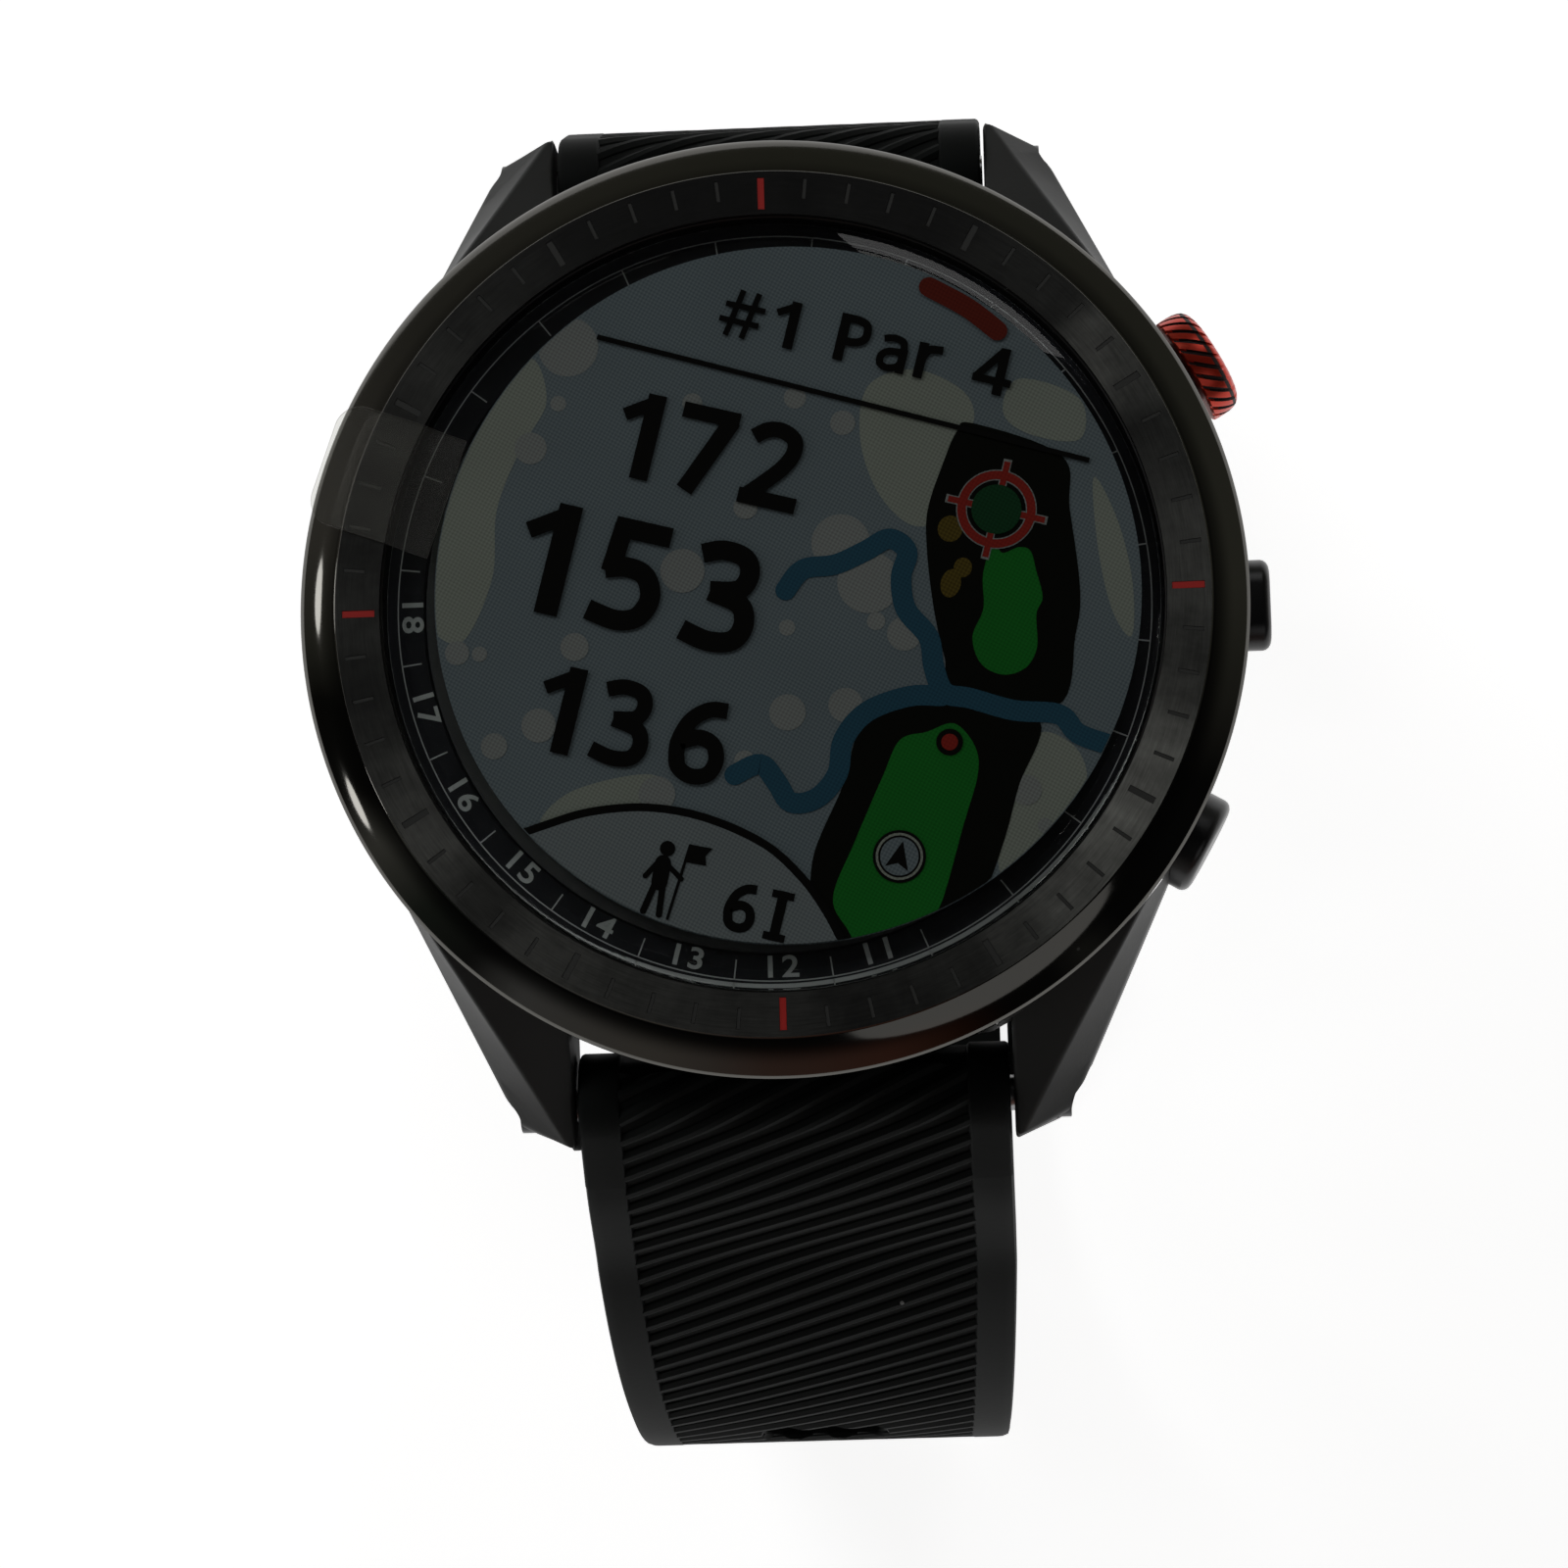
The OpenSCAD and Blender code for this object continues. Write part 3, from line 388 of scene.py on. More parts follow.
def grainMaterial(name, dark, light, roughness=0.5, spread=0.12, scale=3000.0, bump=0.25, depth=0.02,
                  dust=0.0, dustColour=(0.35, 0.35, 0.35, 1), wear=0.0, drift=120.0, **more):
    # moulded, blasted or turned
    mat, tree, shader = newMaterial(name, roughness, **more)
    place = objectPlace(tree)
    grain = grouped(tree, grainGroup, {"Vector": place, "Scale": scale, "Drift": drift})
    colour = mixColour(tree, grain.outputs["Drift"], (*dark, 1), (*light, 1))
    if wear:
        edge = put(tree, "ShaderNodeNewGeometry").outputs["Pointiness"]
        wearAndHighlight = put(tree, "ShaderNodeMapRange", {0: edge, 1: 0.52, 2: 0.62, 3: 0.0, 4: wear}).outputs[0]
        colour = mixColour(tree, wearAndHighlight, colour, tuple(min(1, 2.6 * c + 0.02) for c in light) + (1,))
    if dust:
        specks = grouped(tree, dustGroup, {"Vector": place, "Amount": dust})
        colour = mixColour(tree, maths(tree, "MULTIPLY", specks.outputs[0], 0.7), colour, dustColour)
    tree.links.new(colour, shader.inputs["Base Color"])
    rough = maths(tree, "MULTIPLY_ADD", maths(tree, "SUBTRACT", grain.outputs["Drift"], 0.5), spread * 2,
                  roughness)
    tree.links.new(rough, shader.inputs["Roughness"])
    bumpInto(tree, shader, grain.outputs["Height"], bump, depth)
    return mat


def printMaterial(name, ink, strength=0.22):    # matt ink laid down through the dot screen
    mat, tree, shader = newMaterial(name, 0.6, specular=0.06)
    place = objectPlace(tree)
    dots = grouped(tree, dotsGroup, {"Vector": place})
    tone = put(tree, "ShaderNodeTexNoise", {"Vector": place, "Scale": 150.0, "Detail": 2.0}).outputs["Fac"]
    colour = mixColour(tree, tone, tuple(0.88 * c for c in ink) + (1,), tuple(1.12 * c for c in ink) + (1,))
    darker = mixColour(tree, strength, colour, (0, 0, 0, 1))
    lighter = mixColour(tree, strength * 0.35, colour, tuple(2.2 * c for c in ink) + (1,))
    tree.links.new(mixColour(tree, dots.outputs[0], darker, lighter), shader.inputs["Base Color"])
    grain = grouped(tree, grainGroup, {"Vector": place, "Scale": 2500.0, "Drift": 90.0})
    rough = maths(tree, "MULTIPLY_ADD", grain.outputs["Drift"], 0.25, 0.45)
    tree.links.new(rough, shader.inputs["Roughness"])
    bumpInto(tree, shader, grain.outputs["Height"], 0.08, 0.01)
    return mat


def glassMaterial(name, tint, roughness, ior, dust=0.0, scratches=0.0, haze=0.0):    # lets the lamps through
    mat, tree, shader = newMaterial(name, roughness, ior=ior)
    shader.inputs["Transmission Weight"].default_value = 1.0 - haze
    place = objectPlace(tree)
    colour = (*tint, 1)
    if dust:
        specks = grouped(tree, dustGroup, {"Vector": place, "Amount": dust, "Density": 520.0, "Size": 0.06})
        colour = mixColour(tree, specks.outputs[0], colour, (0.45, 0.46, 0.46, 1))
        rough = maths(tree, "MULTIPLY_ADD", specks.outputs[0], 0.6, roughness)
        tree.links.new(rough, shader.inputs["Roughness"])
        tree.links.new(colour, shader.inputs["Base Color"])
    else:
        shader.inputs["Base Color"].default_value = colour
    if scratches:
        stretched = put(tree, "ShaderNodeMapping", {"Vector": place, "Rotation": (0, 0, 0.6),
                                                    "Scale": (160, 2600, 400)})
        lines = put(tree, "ShaderNodeTexNoise", {"Vector": stretched.outputs[0], "Scale": 1.0, "Detail": 3.0})
        bumpInto(tree, shader, lines.outputs["Fac"], scratches, 0.03)
    clear = put(tree, "ShaderNodeBsdfTransparent", {"Color": (*tint, 1)})
    rays = put(tree, "ShaderNodeLightPath")
    mixed = put(tree, "ShaderNodeMixShader", {0: rays.outputs["Is Shadow Ray"], 1: shader.outputs[0],
                                              2: clear.outputs[0]})
    tree.links.new(mixed.outputs[0], tree.nodes["Material Output"].inputs["Surface"])
    return mat


def brushedMaterial():    # dark plated steel brushed round the dial; where the brushing would catch light on two sides, a highlight is painted into the colour
    # tones of the plating: its own dark colour, and a bright tone that is painted highlight
    look = {"dark": (0.0045, 0.0045, 0.0047), "wearAndHighlight": (0.5, 0.51, 0.475), "roughness": 0.36}
    mat, tree, shader = newMaterial("brushedPlating", look["roughness"], metallic=0.45)
    place = objectPlace(tree)
    brush = grouped(tree, brushGroup, {"Vector": place})
    parts = put(tree, "ShaderNodeSeparateXYZ", {0: place})
    turn = maths(tree, "ARCTAN2", parts.outputs[1], parts.outputs[0])
    share = maths(tree, "MULTIPLY_ADD", turn, 1 / (2 * math.pi), 0.5)
    # painted highlight: a ramp round the dial sets how bright the brushing shows at each angle, in place of the lamps'
    # reflection
    fan = put(tree, "ShaderNodeValToRGB", {0: share})
    setRamp(fan, [(-180, 0.16), (-168, 0.1), (-150, 0.4), (-130, 0.34), (-90, 0.15), (-62, 0.17), (-50, 0.7),
                  (-34, 1.0), (-20, 0.9), (-10, 0.45), (5, 0.32), (24, 0.16), (30, 0.5), (38, 0.55),
                  (44, 0.14), (60, 0.05), (100, 0.02), (118, 0.03), (138, 0.16), (160, 0.14), (180, 0.16)])
    # painted sheen: the slow patches and the brush lines make the painted highlight uneven
    patch = put(tree, "ShaderNodeMapRange", {0: brush.outputs["Patch"], 1: 0.36, 2: 0.64, 3: 0.35, 4: 1.0})
    streaks = put(tree, "ShaderNodeMapRange", {0: brush.outputs["Height"], 1: 0.3, 2: 0.7, 3: 0.55, 4: 1.0})
    share = maths(tree, "MULTIPLY", maths(tree, "MULTIPLY", patch.outputs[0], streaks.outputs[0]),
                  fan.outputs[0])
    colour = mixColour(tree, share, (*look["dark"], 1), (*look["wearAndHighlight"], 1))
    tree.links.new(colour, shader.inputs["Base Color"])
    rough = maths(tree, "MULTIPLY_ADD", brush.outputs["Height"], 0.2, look["roughness"] - 0.08)
    tree.links.new(rough, shader.inputs["Roughness"])
    bumpInto(tree, shader, brush.outputs["Height"], 0.3, 0.01)
    return mat


def setRamp(node, stops):    # fills a colour ramp that runs round the dial from -180 to 180 degrees
    ramp = node.color_ramp
    while len(ramp.elements) > 2:
        ramp.elements.remove(ramp.elements[-1])
    for i, (degrees, value) in enumerate(stops):
        place = (degrees + 180) / 360
        element = ramp.elements[i] if i < 2 else ramp.elements.new(place)
        element.position = place
        element.color = (value, value, value, 1) if not isinstance(value, tuple) else (*value, 1)


grains = {    # two tones and what differs from a plain moulded surface
    "casePolymer": ((0.015, 0.0155, 0.015), (0.023, 0.024, 0.023), dict(roughness=0.5, scale=5200.0,
                    bump=0.2, dust=0.1, wear=0.3, specular=0.32)),
    "bezelPolish": ((0.085, 0.083, 0.077), (0.105, 0.102, 0.094), dict(roughness=0.07, spread=0.02,
                    scale=1400.0, bump=0.015, depth=0.004, metallic=1.0, dust=0.08, drift=60.0)),
    "bezelWall": ((0.004, 0.004, 0.004), (0.008, 0.008, 0.008), dict(roughness=0.4, metallic=0.2, bump=0.1,
                  specular=0.3)),
    "tickPaint": ((0.028, 0.029, 0.027), (0.05, 0.051, 0.048), dict(roughness=0.55)),
    "redPaint": ((0.5, 0.02, 0.018), (0.66, 0.035, 0.028), dict(roughness=0.42, coat=0.2)),
    # painted highlight: the film's cut edges are coloured light grey for the bright line that light makes along them
    "filmEdgeHighlight": ((0.2, 0.2, 0.19), (0.5, 0.5, 0.48), dict(roughness=0.3, scale=900.0, drift=700.0)),
    "ringBlack": ((0.002, 0.002, 0.004), (0.004, 0.004, 0.008), dict(roughness=0.45, specular=0.25)),
    "ringWhite": ((0.3, 0.31, 0.31), (0.42, 0.43, 0.42), dict(roughness=0.5, bump=0.05)),
    "capRed": ((0.5, 0.025, 0.01), (0.66, 0.045, 0.018), dict(roughness=0.3, metallic=0.55, spread=0.08,
               scale=4200.0, bump=0.1, depth=0.01, wear=0.3)),
    # painted shade: a dark copy of the red for the bottoms of the cap's grooves
    "capGrooveShade": ((0.012, 0.004, 0.003), (0.03, 0.008, 0.006), dict(roughness=0.6)),
    "capBlack": ((0.004, 0.004, 0.0045), (0.008, 0.008, 0.009), dict(roughness=0.32, scale=4200.0, bump=0.12,
                 metallic=0.2, wear=0.4)),
    "strapRubber": ((0.004, 0.0052, 0.005), (0.0075, 0.0092, 0.0087), dict(roughness=0.66, spread=0.06,
                    scale=3600.0, bump=0.3, dust=0.1, wear=0.1, specular=0.14)),
    "keeperRubber": ((0.006, 0.0065, 0.007), (0.011, 0.012, 0.012), dict(roughness=0.55, scale=3600.0,
                     bump=0.3, dust=0.08, wear=0.15, specular=0.35)),
    "endMetal": ((0.012, 0.012, 0.0125), (0.024, 0.024, 0.024), dict(roughness=0.38, metallic=0.7,
                 scale=2600.0, bump=0.1, wear=0.4)),
    "buckleMetal": ((0.03, 0.03, 0.032), (0.06, 0.06, 0.062), dict(roughness=0.26, metallic=1.0,
                    scale=2600.0, bump=0.12, wear=0.6, dust=0.08)),
    "darkScrew": ((0.02, 0.02, 0.021), (0.04, 0.04, 0.042), dict(roughness=0.34, metallic=0.8, scale=1800.0,
                  bump=0.15)),
    "screwSteel": ((0.4, 0.4, 0.41), (0.56, 0.56, 0.56), dict(roughness=0.24, metallic=1.0, scale=1800.0,
                   bump=0.15)),
    "coverPlastic": ((0.014, 0.014, 0.015), (0.025, 0.025, 0.026), dict(roughness=0.42, scale=4200.0,
                     bump=0.25, dust=0.08, wear=0.3)),
    "sensorGloss": ((0.004, 0.004, 0.005), (0.009, 0.009, 0.011), dict(roughness=0.08, spread=0.02,
                    bump=0.01, coat=0.8, dust=0.06)),
    "sensorPane": ((0.016, 0.022, 0.02), (0.03, 0.042, 0.036), dict(roughness=0.12, bump=0.02, coat=0.8,
                   coatRoughness=0.04)),
    "contactGold": ((0.75, 0.52, 0.2), (0.9, 0.68, 0.3), dict(roughness=0.25, metallic=1.0)),
    "sealBlack": ((0.01, 0.01, 0.01), (0.02, 0.02, 0.02), dict(roughness=0.7)),
    "innerPlastic": ((0.02, 0.02, 0.021), (0.04, 0.04, 0.041), dict(roughness=0.6)),
    "boardGreen": ((0.006, 0.07, 0.025), (0.01, 0.11, 0.04), dict(roughness=0.45, coat=0.3)),
    "chipBlack": ((0.014, 0.014, 0.015), (0.03, 0.03, 0.032), dict(roughness=0.5)),
    "flexAmber": ((0.45, 0.2, 0.03), (0.6, 0.3, 0.06), dict(roughness=0.35)),
    "antennaBrass": ((0.6, 0.45, 0.2), (0.75, 0.58, 0.28), dict(roughness=0.3, metallic=1.0)),
    "cellFoil": ((0.5, 0.5, 0.52), (0.66, 0.66, 0.68), dict(roughness=0.35, metallic=0.9)),
}
inks = {    # colour, and how much the dot screen shows
    "printGround": ((0.14, 0.178, 0.192), 0.34),
    "printInk": ((0.0035, 0.0035, 0.003), 0.1),
    "printFairway": ((0.003, 0.0035, 0.002), 0.3),
    "printGreen": ((0.01, 0.15, 0.018), 0.25),
    "printDeepGreen": ((0.008, 0.05, 0.018), 0.3),
    "printCreek": ((0.021, 0.075, 0.115), 0.25),
    "printSand": ((0.09, 0.066, 0.012), 0.45),
    "printRed": ((0.24, 0.02, 0.014), 0.2),
    "printPill": ((0.115, 0.016, 0.01), 0.25),
    "printBubble": ((0.165, 0.195, 0.2), 0.3),
    "printPale": ((0.235, 0.265, 0.225), 0.3),
    "printSpot": ((0.215, 0.235, 0.225), 0.3),
}
paint = {name: grainMaterial(name, low, high, **rest) for name, (low, high, rest) in grains.items()}
paint.update({name: printMaterial(name, ink, strength) for name, (ink, strength) in inks.items()})
paint.update({
    "brushedPlating": brushedMaterial(),
    "lensGlass": glassMaterial("lensGlass", (0.93, 0.95, 0.95), 0.01, 1.45),
    "clearFilm": glassMaterial("clearFilm", (0.94, 0.95, 0.93), 0.0, 1.3, dust=0.14),
    "tabFilm": glassMaterial("tabFilm", (0.82, 0.82, 0.79), 0.1, 1.33, dust=0.5, scratches=0.3, haze=0.025),
})
print("materials made:", len(paint))


# Geometry Nodes helpers

def geometryTree(name, ins):
    tree = bpy.data.node_groups.new(name, "GeometryNodeTree")
    tree.interface.new_socket("Geometry", in_out="INPUT", socket_type="NodeSocketGeometry")
    for label, kind in ins:
        tree.interface.new_socket(label, in_out="INPUT", socket_type="NodeSocket" + kind)
    tree.interface.new_socket("Geometry", in_out="OUTPUT", socket_type="NodeSocketGeometry")
    return tree, tree.nodes.new("NodeGroupInput"), tree.nodes.new("NodeGroupOutput")


def grow(name, tree, values, soft=32):    # keeps the tree's result as a plain mesh
    obj = addObject(name, bpy.data.meshes.new(name))
    mod = obj.modifiers.new(tree.name, "NODES")
    mod.node_group = tree
    for item in tree.interface.items_tree:
        if item.item_type == "SOCKET" and item.in_out == "INPUT" and item.name in values:
            mod[item.identifier] = values[item.name]
    bpy.context.view_layer.update()
    bake(obj)
    shadeSoft(obj.data, soft)
    return obj


def makeMarksTree():    # bars set round the dial: every Step-th of Count places, leaving out every Skip-th
    tree, given, result = geometryTree("ringMarks", [
        ("Count", "Int"), ("Step", "Int"), ("Skip", "Int"), ("Turn", "Float"), ("Radius", "Float"),
        ("Length", "Float"), ("Width", "Float"), ("Thickness", "Float"), ("Level", "Float"),
        ("Material", "Material")])
    out = given.outputs
    ring = put(tree, "GeometryNodeMeshCircle", {"Vertices": out["Count"], "Radius": out["Radius"]})
    index = put(tree, "GeometryNodeInputIndex").outputs[0]
    onStep = maths(tree, "COMPARE", maths(tree, "MODULO", index, out["Step"]), 0.0, 0.1)
    onSkip = maths(tree, "COMPARE", maths(tree, "MODULO", index, out["Skip"]), 0.0, 0.1)
    skipped = maths(tree, "MULTIPLY", onSkip, maths(tree, "GREATER_THAN", out["Skip"], 0.5))
    chosen = maths(tree, "MULTIPLY", onStep, maths(tree, "SUBTRACT", 1.0, skipped))
    size = put(tree, "ShaderNodeCombineXYZ", {0: out["Length"], 1: out["Width"], 2: out["Thickness"]})
    bar = put(tree, "GeometryNodeMeshCube", {"Size": size.outputs[0]})
    place = put(tree, "GeometryNodeInputPosition").outputs[0]
    facing = put(tree, "FunctionNodeAlignRotationToVector", {"Vector": place}, axis="X", pivot_axis="Z")
    placed = put(tree, "GeometryNodeInstanceOnPoints", {"Points": ring.outputs["Mesh"], "Selection": chosen,
                                                        "Instance": bar.outputs["Mesh"],
                                                        "Rotation": facing.outputs[0]})
    real = put(tree, "GeometryNodeRealizeInstances", {0: placed.outputs[0]})
    spin = put(tree, "ShaderNodeCombineXYZ", {0: 0.0, 1: 0.0, 2: out["Turn"]})
    lift = put(tree, "ShaderNodeCombineXYZ", {0: 0.0, 1: 0.0, 2: out["Level"]})
    moved = put(tree, "GeometryNodeTransform", {"Geometry": real.outputs[0], "Translation": lift.outputs[0],
                                                "Rotation": spin.outputs[0]})
    coloured = put(tree, "GeometryNodeSetMaterial",
                   {"Geometry": moved.outputs[0], "Material": out["Material"]})
    tree.links.new(coloured.outputs[0], result.inputs[0])
    return tree


def makeRibsTree():    # slanting ribs laid along a route
    tree, given, result = geometryTree("strapRibs", [
        ("Line", "Object"), ("Count", "Int"), ("First", "Float"), ("Pitch", "Float"), ("Slant", "Float"),
        ("Rib Width", "Float"), ("Rib Height", "Float"), ("Side", "Float"), ("Material", "Material")])
    out = given.outputs
    along = put(tree, "ShaderNodeCombineXYZ", {0: 0.0, 1: out["First"], 2: 0.0})
    gap = put(tree, "ShaderNodeCombineXYZ", {0: 0.0, 1: out["Pitch"], 2: 0.0})
    places = put(tree, "GeometryNodeMeshLine", {"Count": out["Count"], "Start Location": along.outputs[0],
                                                "Offset": gap.outputs[0]})
    size = put(tree, "ShaderNodeCombineXYZ", {0: 2.0, 1: out["Rib Width"], 2: out["Rib Height"]})
    bar = put(tree, "GeometryNodeMeshCube", {"Size": size.outputs[0], "Vertices X": 21, "Vertices Y": 4,
                                             "Vertices Z": 2})
    barPlace = put(tree, "ShaderNodeSeparateXYZ", {0: put(tree, "GeometryNodeInputPosition").outputs[0]})
    top = maths(tree, "GREATER_THAN", barPlace.outputs[2], 0.0)
    inner = maths(tree, "LESS_THAN", maths(tree, "ABSOLUTE", barPlace.outputs[1]),
                  maths(tree, "MULTIPLY", out["Rib Width"], 0.3))
    edgeDrop = maths(tree, "MULTIPLY", maths(tree, "MULTIPLY", top, maths(tree, "SUBTRACT", 1.0, inner)),
                     maths(tree, "MULTIPLY", out["Rib Height"], -0.32))
    narrower = maths(tree, "MULTIPLY_ADD", top, -0.22, 1.0)
    shaped = put(tree, "ShaderNodeCombineXYZ", {0: barPlace.outputs[0],
                                                1: maths(tree, "MULTIPLY", barPlace.outputs[1], narrower),
                                                2: maths(tree, "ADD", barPlace.outputs[2], edgeDrop)})
    ribShape = put(tree, "GeometryNodeSetPosition", {"Geometry": bar.outputs["Mesh"],
                                                     "Position": shaped.outputs[0]})
    placed = put(tree, "GeometryNodeInstanceOnPoints", {"Points": places.outputs[0],
                                                        "Instance": ribShape.outputs[0]})
    real = put(tree, "GeometryNodeRealizeInstances", {0: placed.outputs[0]})
    parts = put(tree, "ShaderNodeSeparateXYZ", {0: put(tree, "GeometryNodeInputPosition").outputs[0]})
    line = put(tree, "GeometryNodeObjectInfo", {"Object": out["Line"]})
    curve = put(tree, "GeometryNodeMeshToCurve", {"Mesh": line.outputs["Geometry"]})
    half = put(tree, "GeometryNodeInputNamedAttribute", {"Name": "halfWidth"}, data_type="FLOAT")
    distance = maths(tree, "MULTIPLY_ADD", parts.outputs[0], out["Slant"], parts.outputs[1])
    sample = put(tree, "GeometryNodeSampleCurve", {"Curves": curve.outputs[0], "Length": distance,
                                                   "Value": half.outputs[0]}, mode="LENGTH",
                 data_type="FLOAT")
    sideways = put(tree, "ShaderNodeCombineXYZ", {0: out["Side"], 1: 0.0, 2: 0.0})
    outward = put(tree, "ShaderNodeVectorMath", {0: sample.outputs["Tangent"], 1: sideways.outputs[0]},
                  operation="CROSS_PRODUCT")
    raised = put(tree, "ShaderNodeVectorMath", {0: outward.outputs[0], "Scale": parts.outputs[2]},
                 operation="SCALE")
    across = put(tree, "ShaderNodeCombineXYZ", {0: maths(tree, "MULTIPLY", parts.outputs[0],
                                                         sample.outputs["Value"]), 1: 0.0, 2: 0.0})
    spot = put(tree, "ShaderNodeVectorMath", {0: sample.outputs["Position"], 1: raised.outputs[0]},
               operation="ADD")
    final = put(tree, "ShaderNodeVectorMath", {0: spot.outputs[0], 1: across.outputs[0]}, operation="ADD")
    bent = put(tree, "GeometryNodeSetPosition", {"Geometry": real.outputs[0], "Position": final.outputs[0]})
    coloured = put(tree, "GeometryNodeSetMaterial",
                   {"Geometry": bent.outputs[0], "Material": out["Material"]})
    tree.links.new(coloured.outputs[0], result.inputs[0])
    return tree


marksTree = makeMarksTree()
ribsTree = makeRibsTree()


# Bezel: a turned ring whose sixty grooves hold paint

bezel = {"openingR": lensR + 0.15, "flatR": 21.58, "grooveOut": 21.25, "minorLength": 1.05,
         "majorLength": 1.42, "redLength": 1.62, "markR": 20.7, "minorWidth": 0.2, "majorWidth": 0.34, "redWidth": 0.36,
         "grooveDepth": 0.09, "height": 2.6, "paintDrop": 0.03}


def markKind(k):
    return "red" if k % 15 == 0 else "major" if k % 5 == 0 else "minor"


def makeBezel():
    b = bezel
    radii = [b["openingR"] + 0.1, b["grooveOut"] - b["redLength"], b["grooveOut"] - b["majorLength"],
             b["grooveOut"] - b["minorLength"], b["grooveOut"], b["flatR"]]
    firstRow = {"red": 1, "major": 2, "minor": 3}
    lastRow = 4
    bow = [(lerp(b["flatR"] + 0.1, rimR - 0.1, t), -0.07 - 1.12 * t + 0.1 * math.sin(math.pi * t))
           for t in [i / 12 for i in range(13)]]
    rim = [(rimR, -1.36), (rimR, -2.02), (rimR - 0.12, -2.1), (rimR - 0.12, -2.2), (rimR - 0.04, -2.27),
           (rimR - 0.04, -2.45), (rimR - 0.22, -b["height"]), (b["openingR"], -b["height"])]
    wall = [(b["openingR"], -0.42), (b["openingR"] + 0.07, -0.36), (b["openingR"] + 0.07, -0.06)]
    profile = [(r, 0.0) for r in radii] + [(b["flatR"] + 0.05, -0.05)] + bow + rim + wall
    bands = [1] * (len(radii) - 1) + [0] * (len(bow) + 7)
    bands += [2] * (len(profile) - len(bands))
    angles, kinds = [], []
    for k in range(60):
        kind = markKind(k)
        centre = math.radians(90 - 6 * k)
        half = b[kind + "Width"] / 2 / b["markR"]
        nextHalf = b[markKind(k + 1) + "Width"] / 2 / b["markR"]
        angles.append(centre + half)
        kinds.append(kind)
        start, end = centre - half, math.radians(90 - 6 * (k + 1)) + nextHalf
        for i in range(5):
            angles.append(lerp(start, end, i / 5))
            kinds.append(None)
    count = len(profile)
    points = []
    for a in angles:
        points += [(r * math.cos(a), r * math.sin(a), dialTop + z) for r, z in profile]
    faces, picks = [], []

    def addFace(corners, pick):
        faces.append(corners)
        picks.append(pick)

    for i, kind in enumerate(kinds):
        k = (i + 1) % len(angles)
        low = firstRow.get(kind, 99)
        for j in range(count):
            m = (j + 1) % count
            if low <= j < lastRow:
                continue
            addFace((i * count + j, k * count + j, k * count + m, i * count + m), bands[j])
        if kind:
            start = len(points)
            rows = list(range(low, lastRow + 1))
            for side in (angles[i], angles[k]):
                points += [(radii[j] * math.cos(side), radii[j] * math.sin(side), dialTop - b["grooveDepth"])
                           for j in rows]
            n = len(rows)
            for q in range(n - 1):
                addFace((start + q, start + n + q, start + n + q + 1, start + q + 1), 2)
                addFace((i * count + rows[q], i * count + rows[q + 1], start + q + 1, start + q), 2)
                addFace((k * count + rows[q], k * count + rows[q + 1], start + n + q + 1, start + n + q), 2)
            addFace((i * count + rows[0], k * count + rows[0], start + n, start), 2)
            addFace((i * count + rows[-1], k * count + rows[-1], start + 2 * n - 1, start + n - 1), 2)
    ring = addMesh("bezelRing", points, faces, (paint["bezelPolish"], paint["brushedPlating"],
                                                paint["bezelWall"]),
                   picks, soft=24)
    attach(ring, "case")
    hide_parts("bezel_ring")
    level = (dialTop - b["paintDrop"] - 0.03) * mm
    for kind, step, skip, mat in (("minor", 1, 5, "tickPaint"), ("major", 5, 15, "tickPaint"),
                                  ("red", 15, 0, "redPaint")):
        length = b[kind + "Length"] - 0.03
        values = {"Count": 60, "Step": step, "Skip": skip, "Turn": 0.0,
                  "Radius": (b["grooveOut"] - b[kind + "Length"] / 2) * mm, "Length": length * mm,
                  "Width": (b[kind + "Width"] - 0.03) * mm, "Thickness": 0.06 * mm, "Level": level,
                  "Material": paint[mat]}
        if kind == "red":
            values["Count"], values["Step"] = 4, 1
        marks = grow(kind + "Marks", marksTree, values)
        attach(marks, "case")


makeBezel()
print("bezel done")


# Lens, numeral ring and the printed film

dial = {"numeralR": 17.86, "numeralHeight": 1.08, "circleR": 18.62, "circleWidth": 0.06, "dividerLength": 1.0,
        "dividerWidth": 0.07, "firstNumeral": 11, "lastNumeral": 18}


def textMesh(name, words, height, mat, thickness=0.02, weight=0.0, spread=1.0, slim=1.0):
    # flat letters centred on the origin
    curve = bpy.data.curves.new(name, "FONT")
    curve.body = words
    curve.size = 1.0
    curve.align_x, curve.align_y = "CENTER", "CENTER"
    curve.offset = weight
    curve.extrude = 0.5
    curve.resolution_u = 5
    curve.space_character = spread
    obj = addObject(name, curve)
    bpy.context.view_layer.update()
    mesh = bpy.data.meshes.new_from_object(obj.evaluated_get(bpy.context.evaluated_depsgraph_get()))
    bpy.data.objects.remove(obj)
    xs, ys = [v.co.x for v in mesh.vertices], [v.co.y for v in mesh.vertices]
    tall = max(ys) - min(ys)
    size = height * mm / tall
    middle = Vector(((max(xs) + min(xs)) / 2, (max(ys) + min(ys)) / 2, 0))
    mesh.transform(Matrix.Diagonal((size * slim, size, thickness * mm, 1)) @ Matrix.Translation(-middle))
    fixNormals(mesh)
    mesh.materials.clear()
    mesh.materials.append(mat)
    shadeSoft(mesh, 30)
    return addObject(name, mesh)


def setDown(obj, x, y, z, turn=0.0):
    obj.data.transform(Matrix.Translation((x * mm, y * mm, z * mm)) @ Matrix.Rotation(math.radians(turn), 4,
                                                                                      "Z"))
    return obj


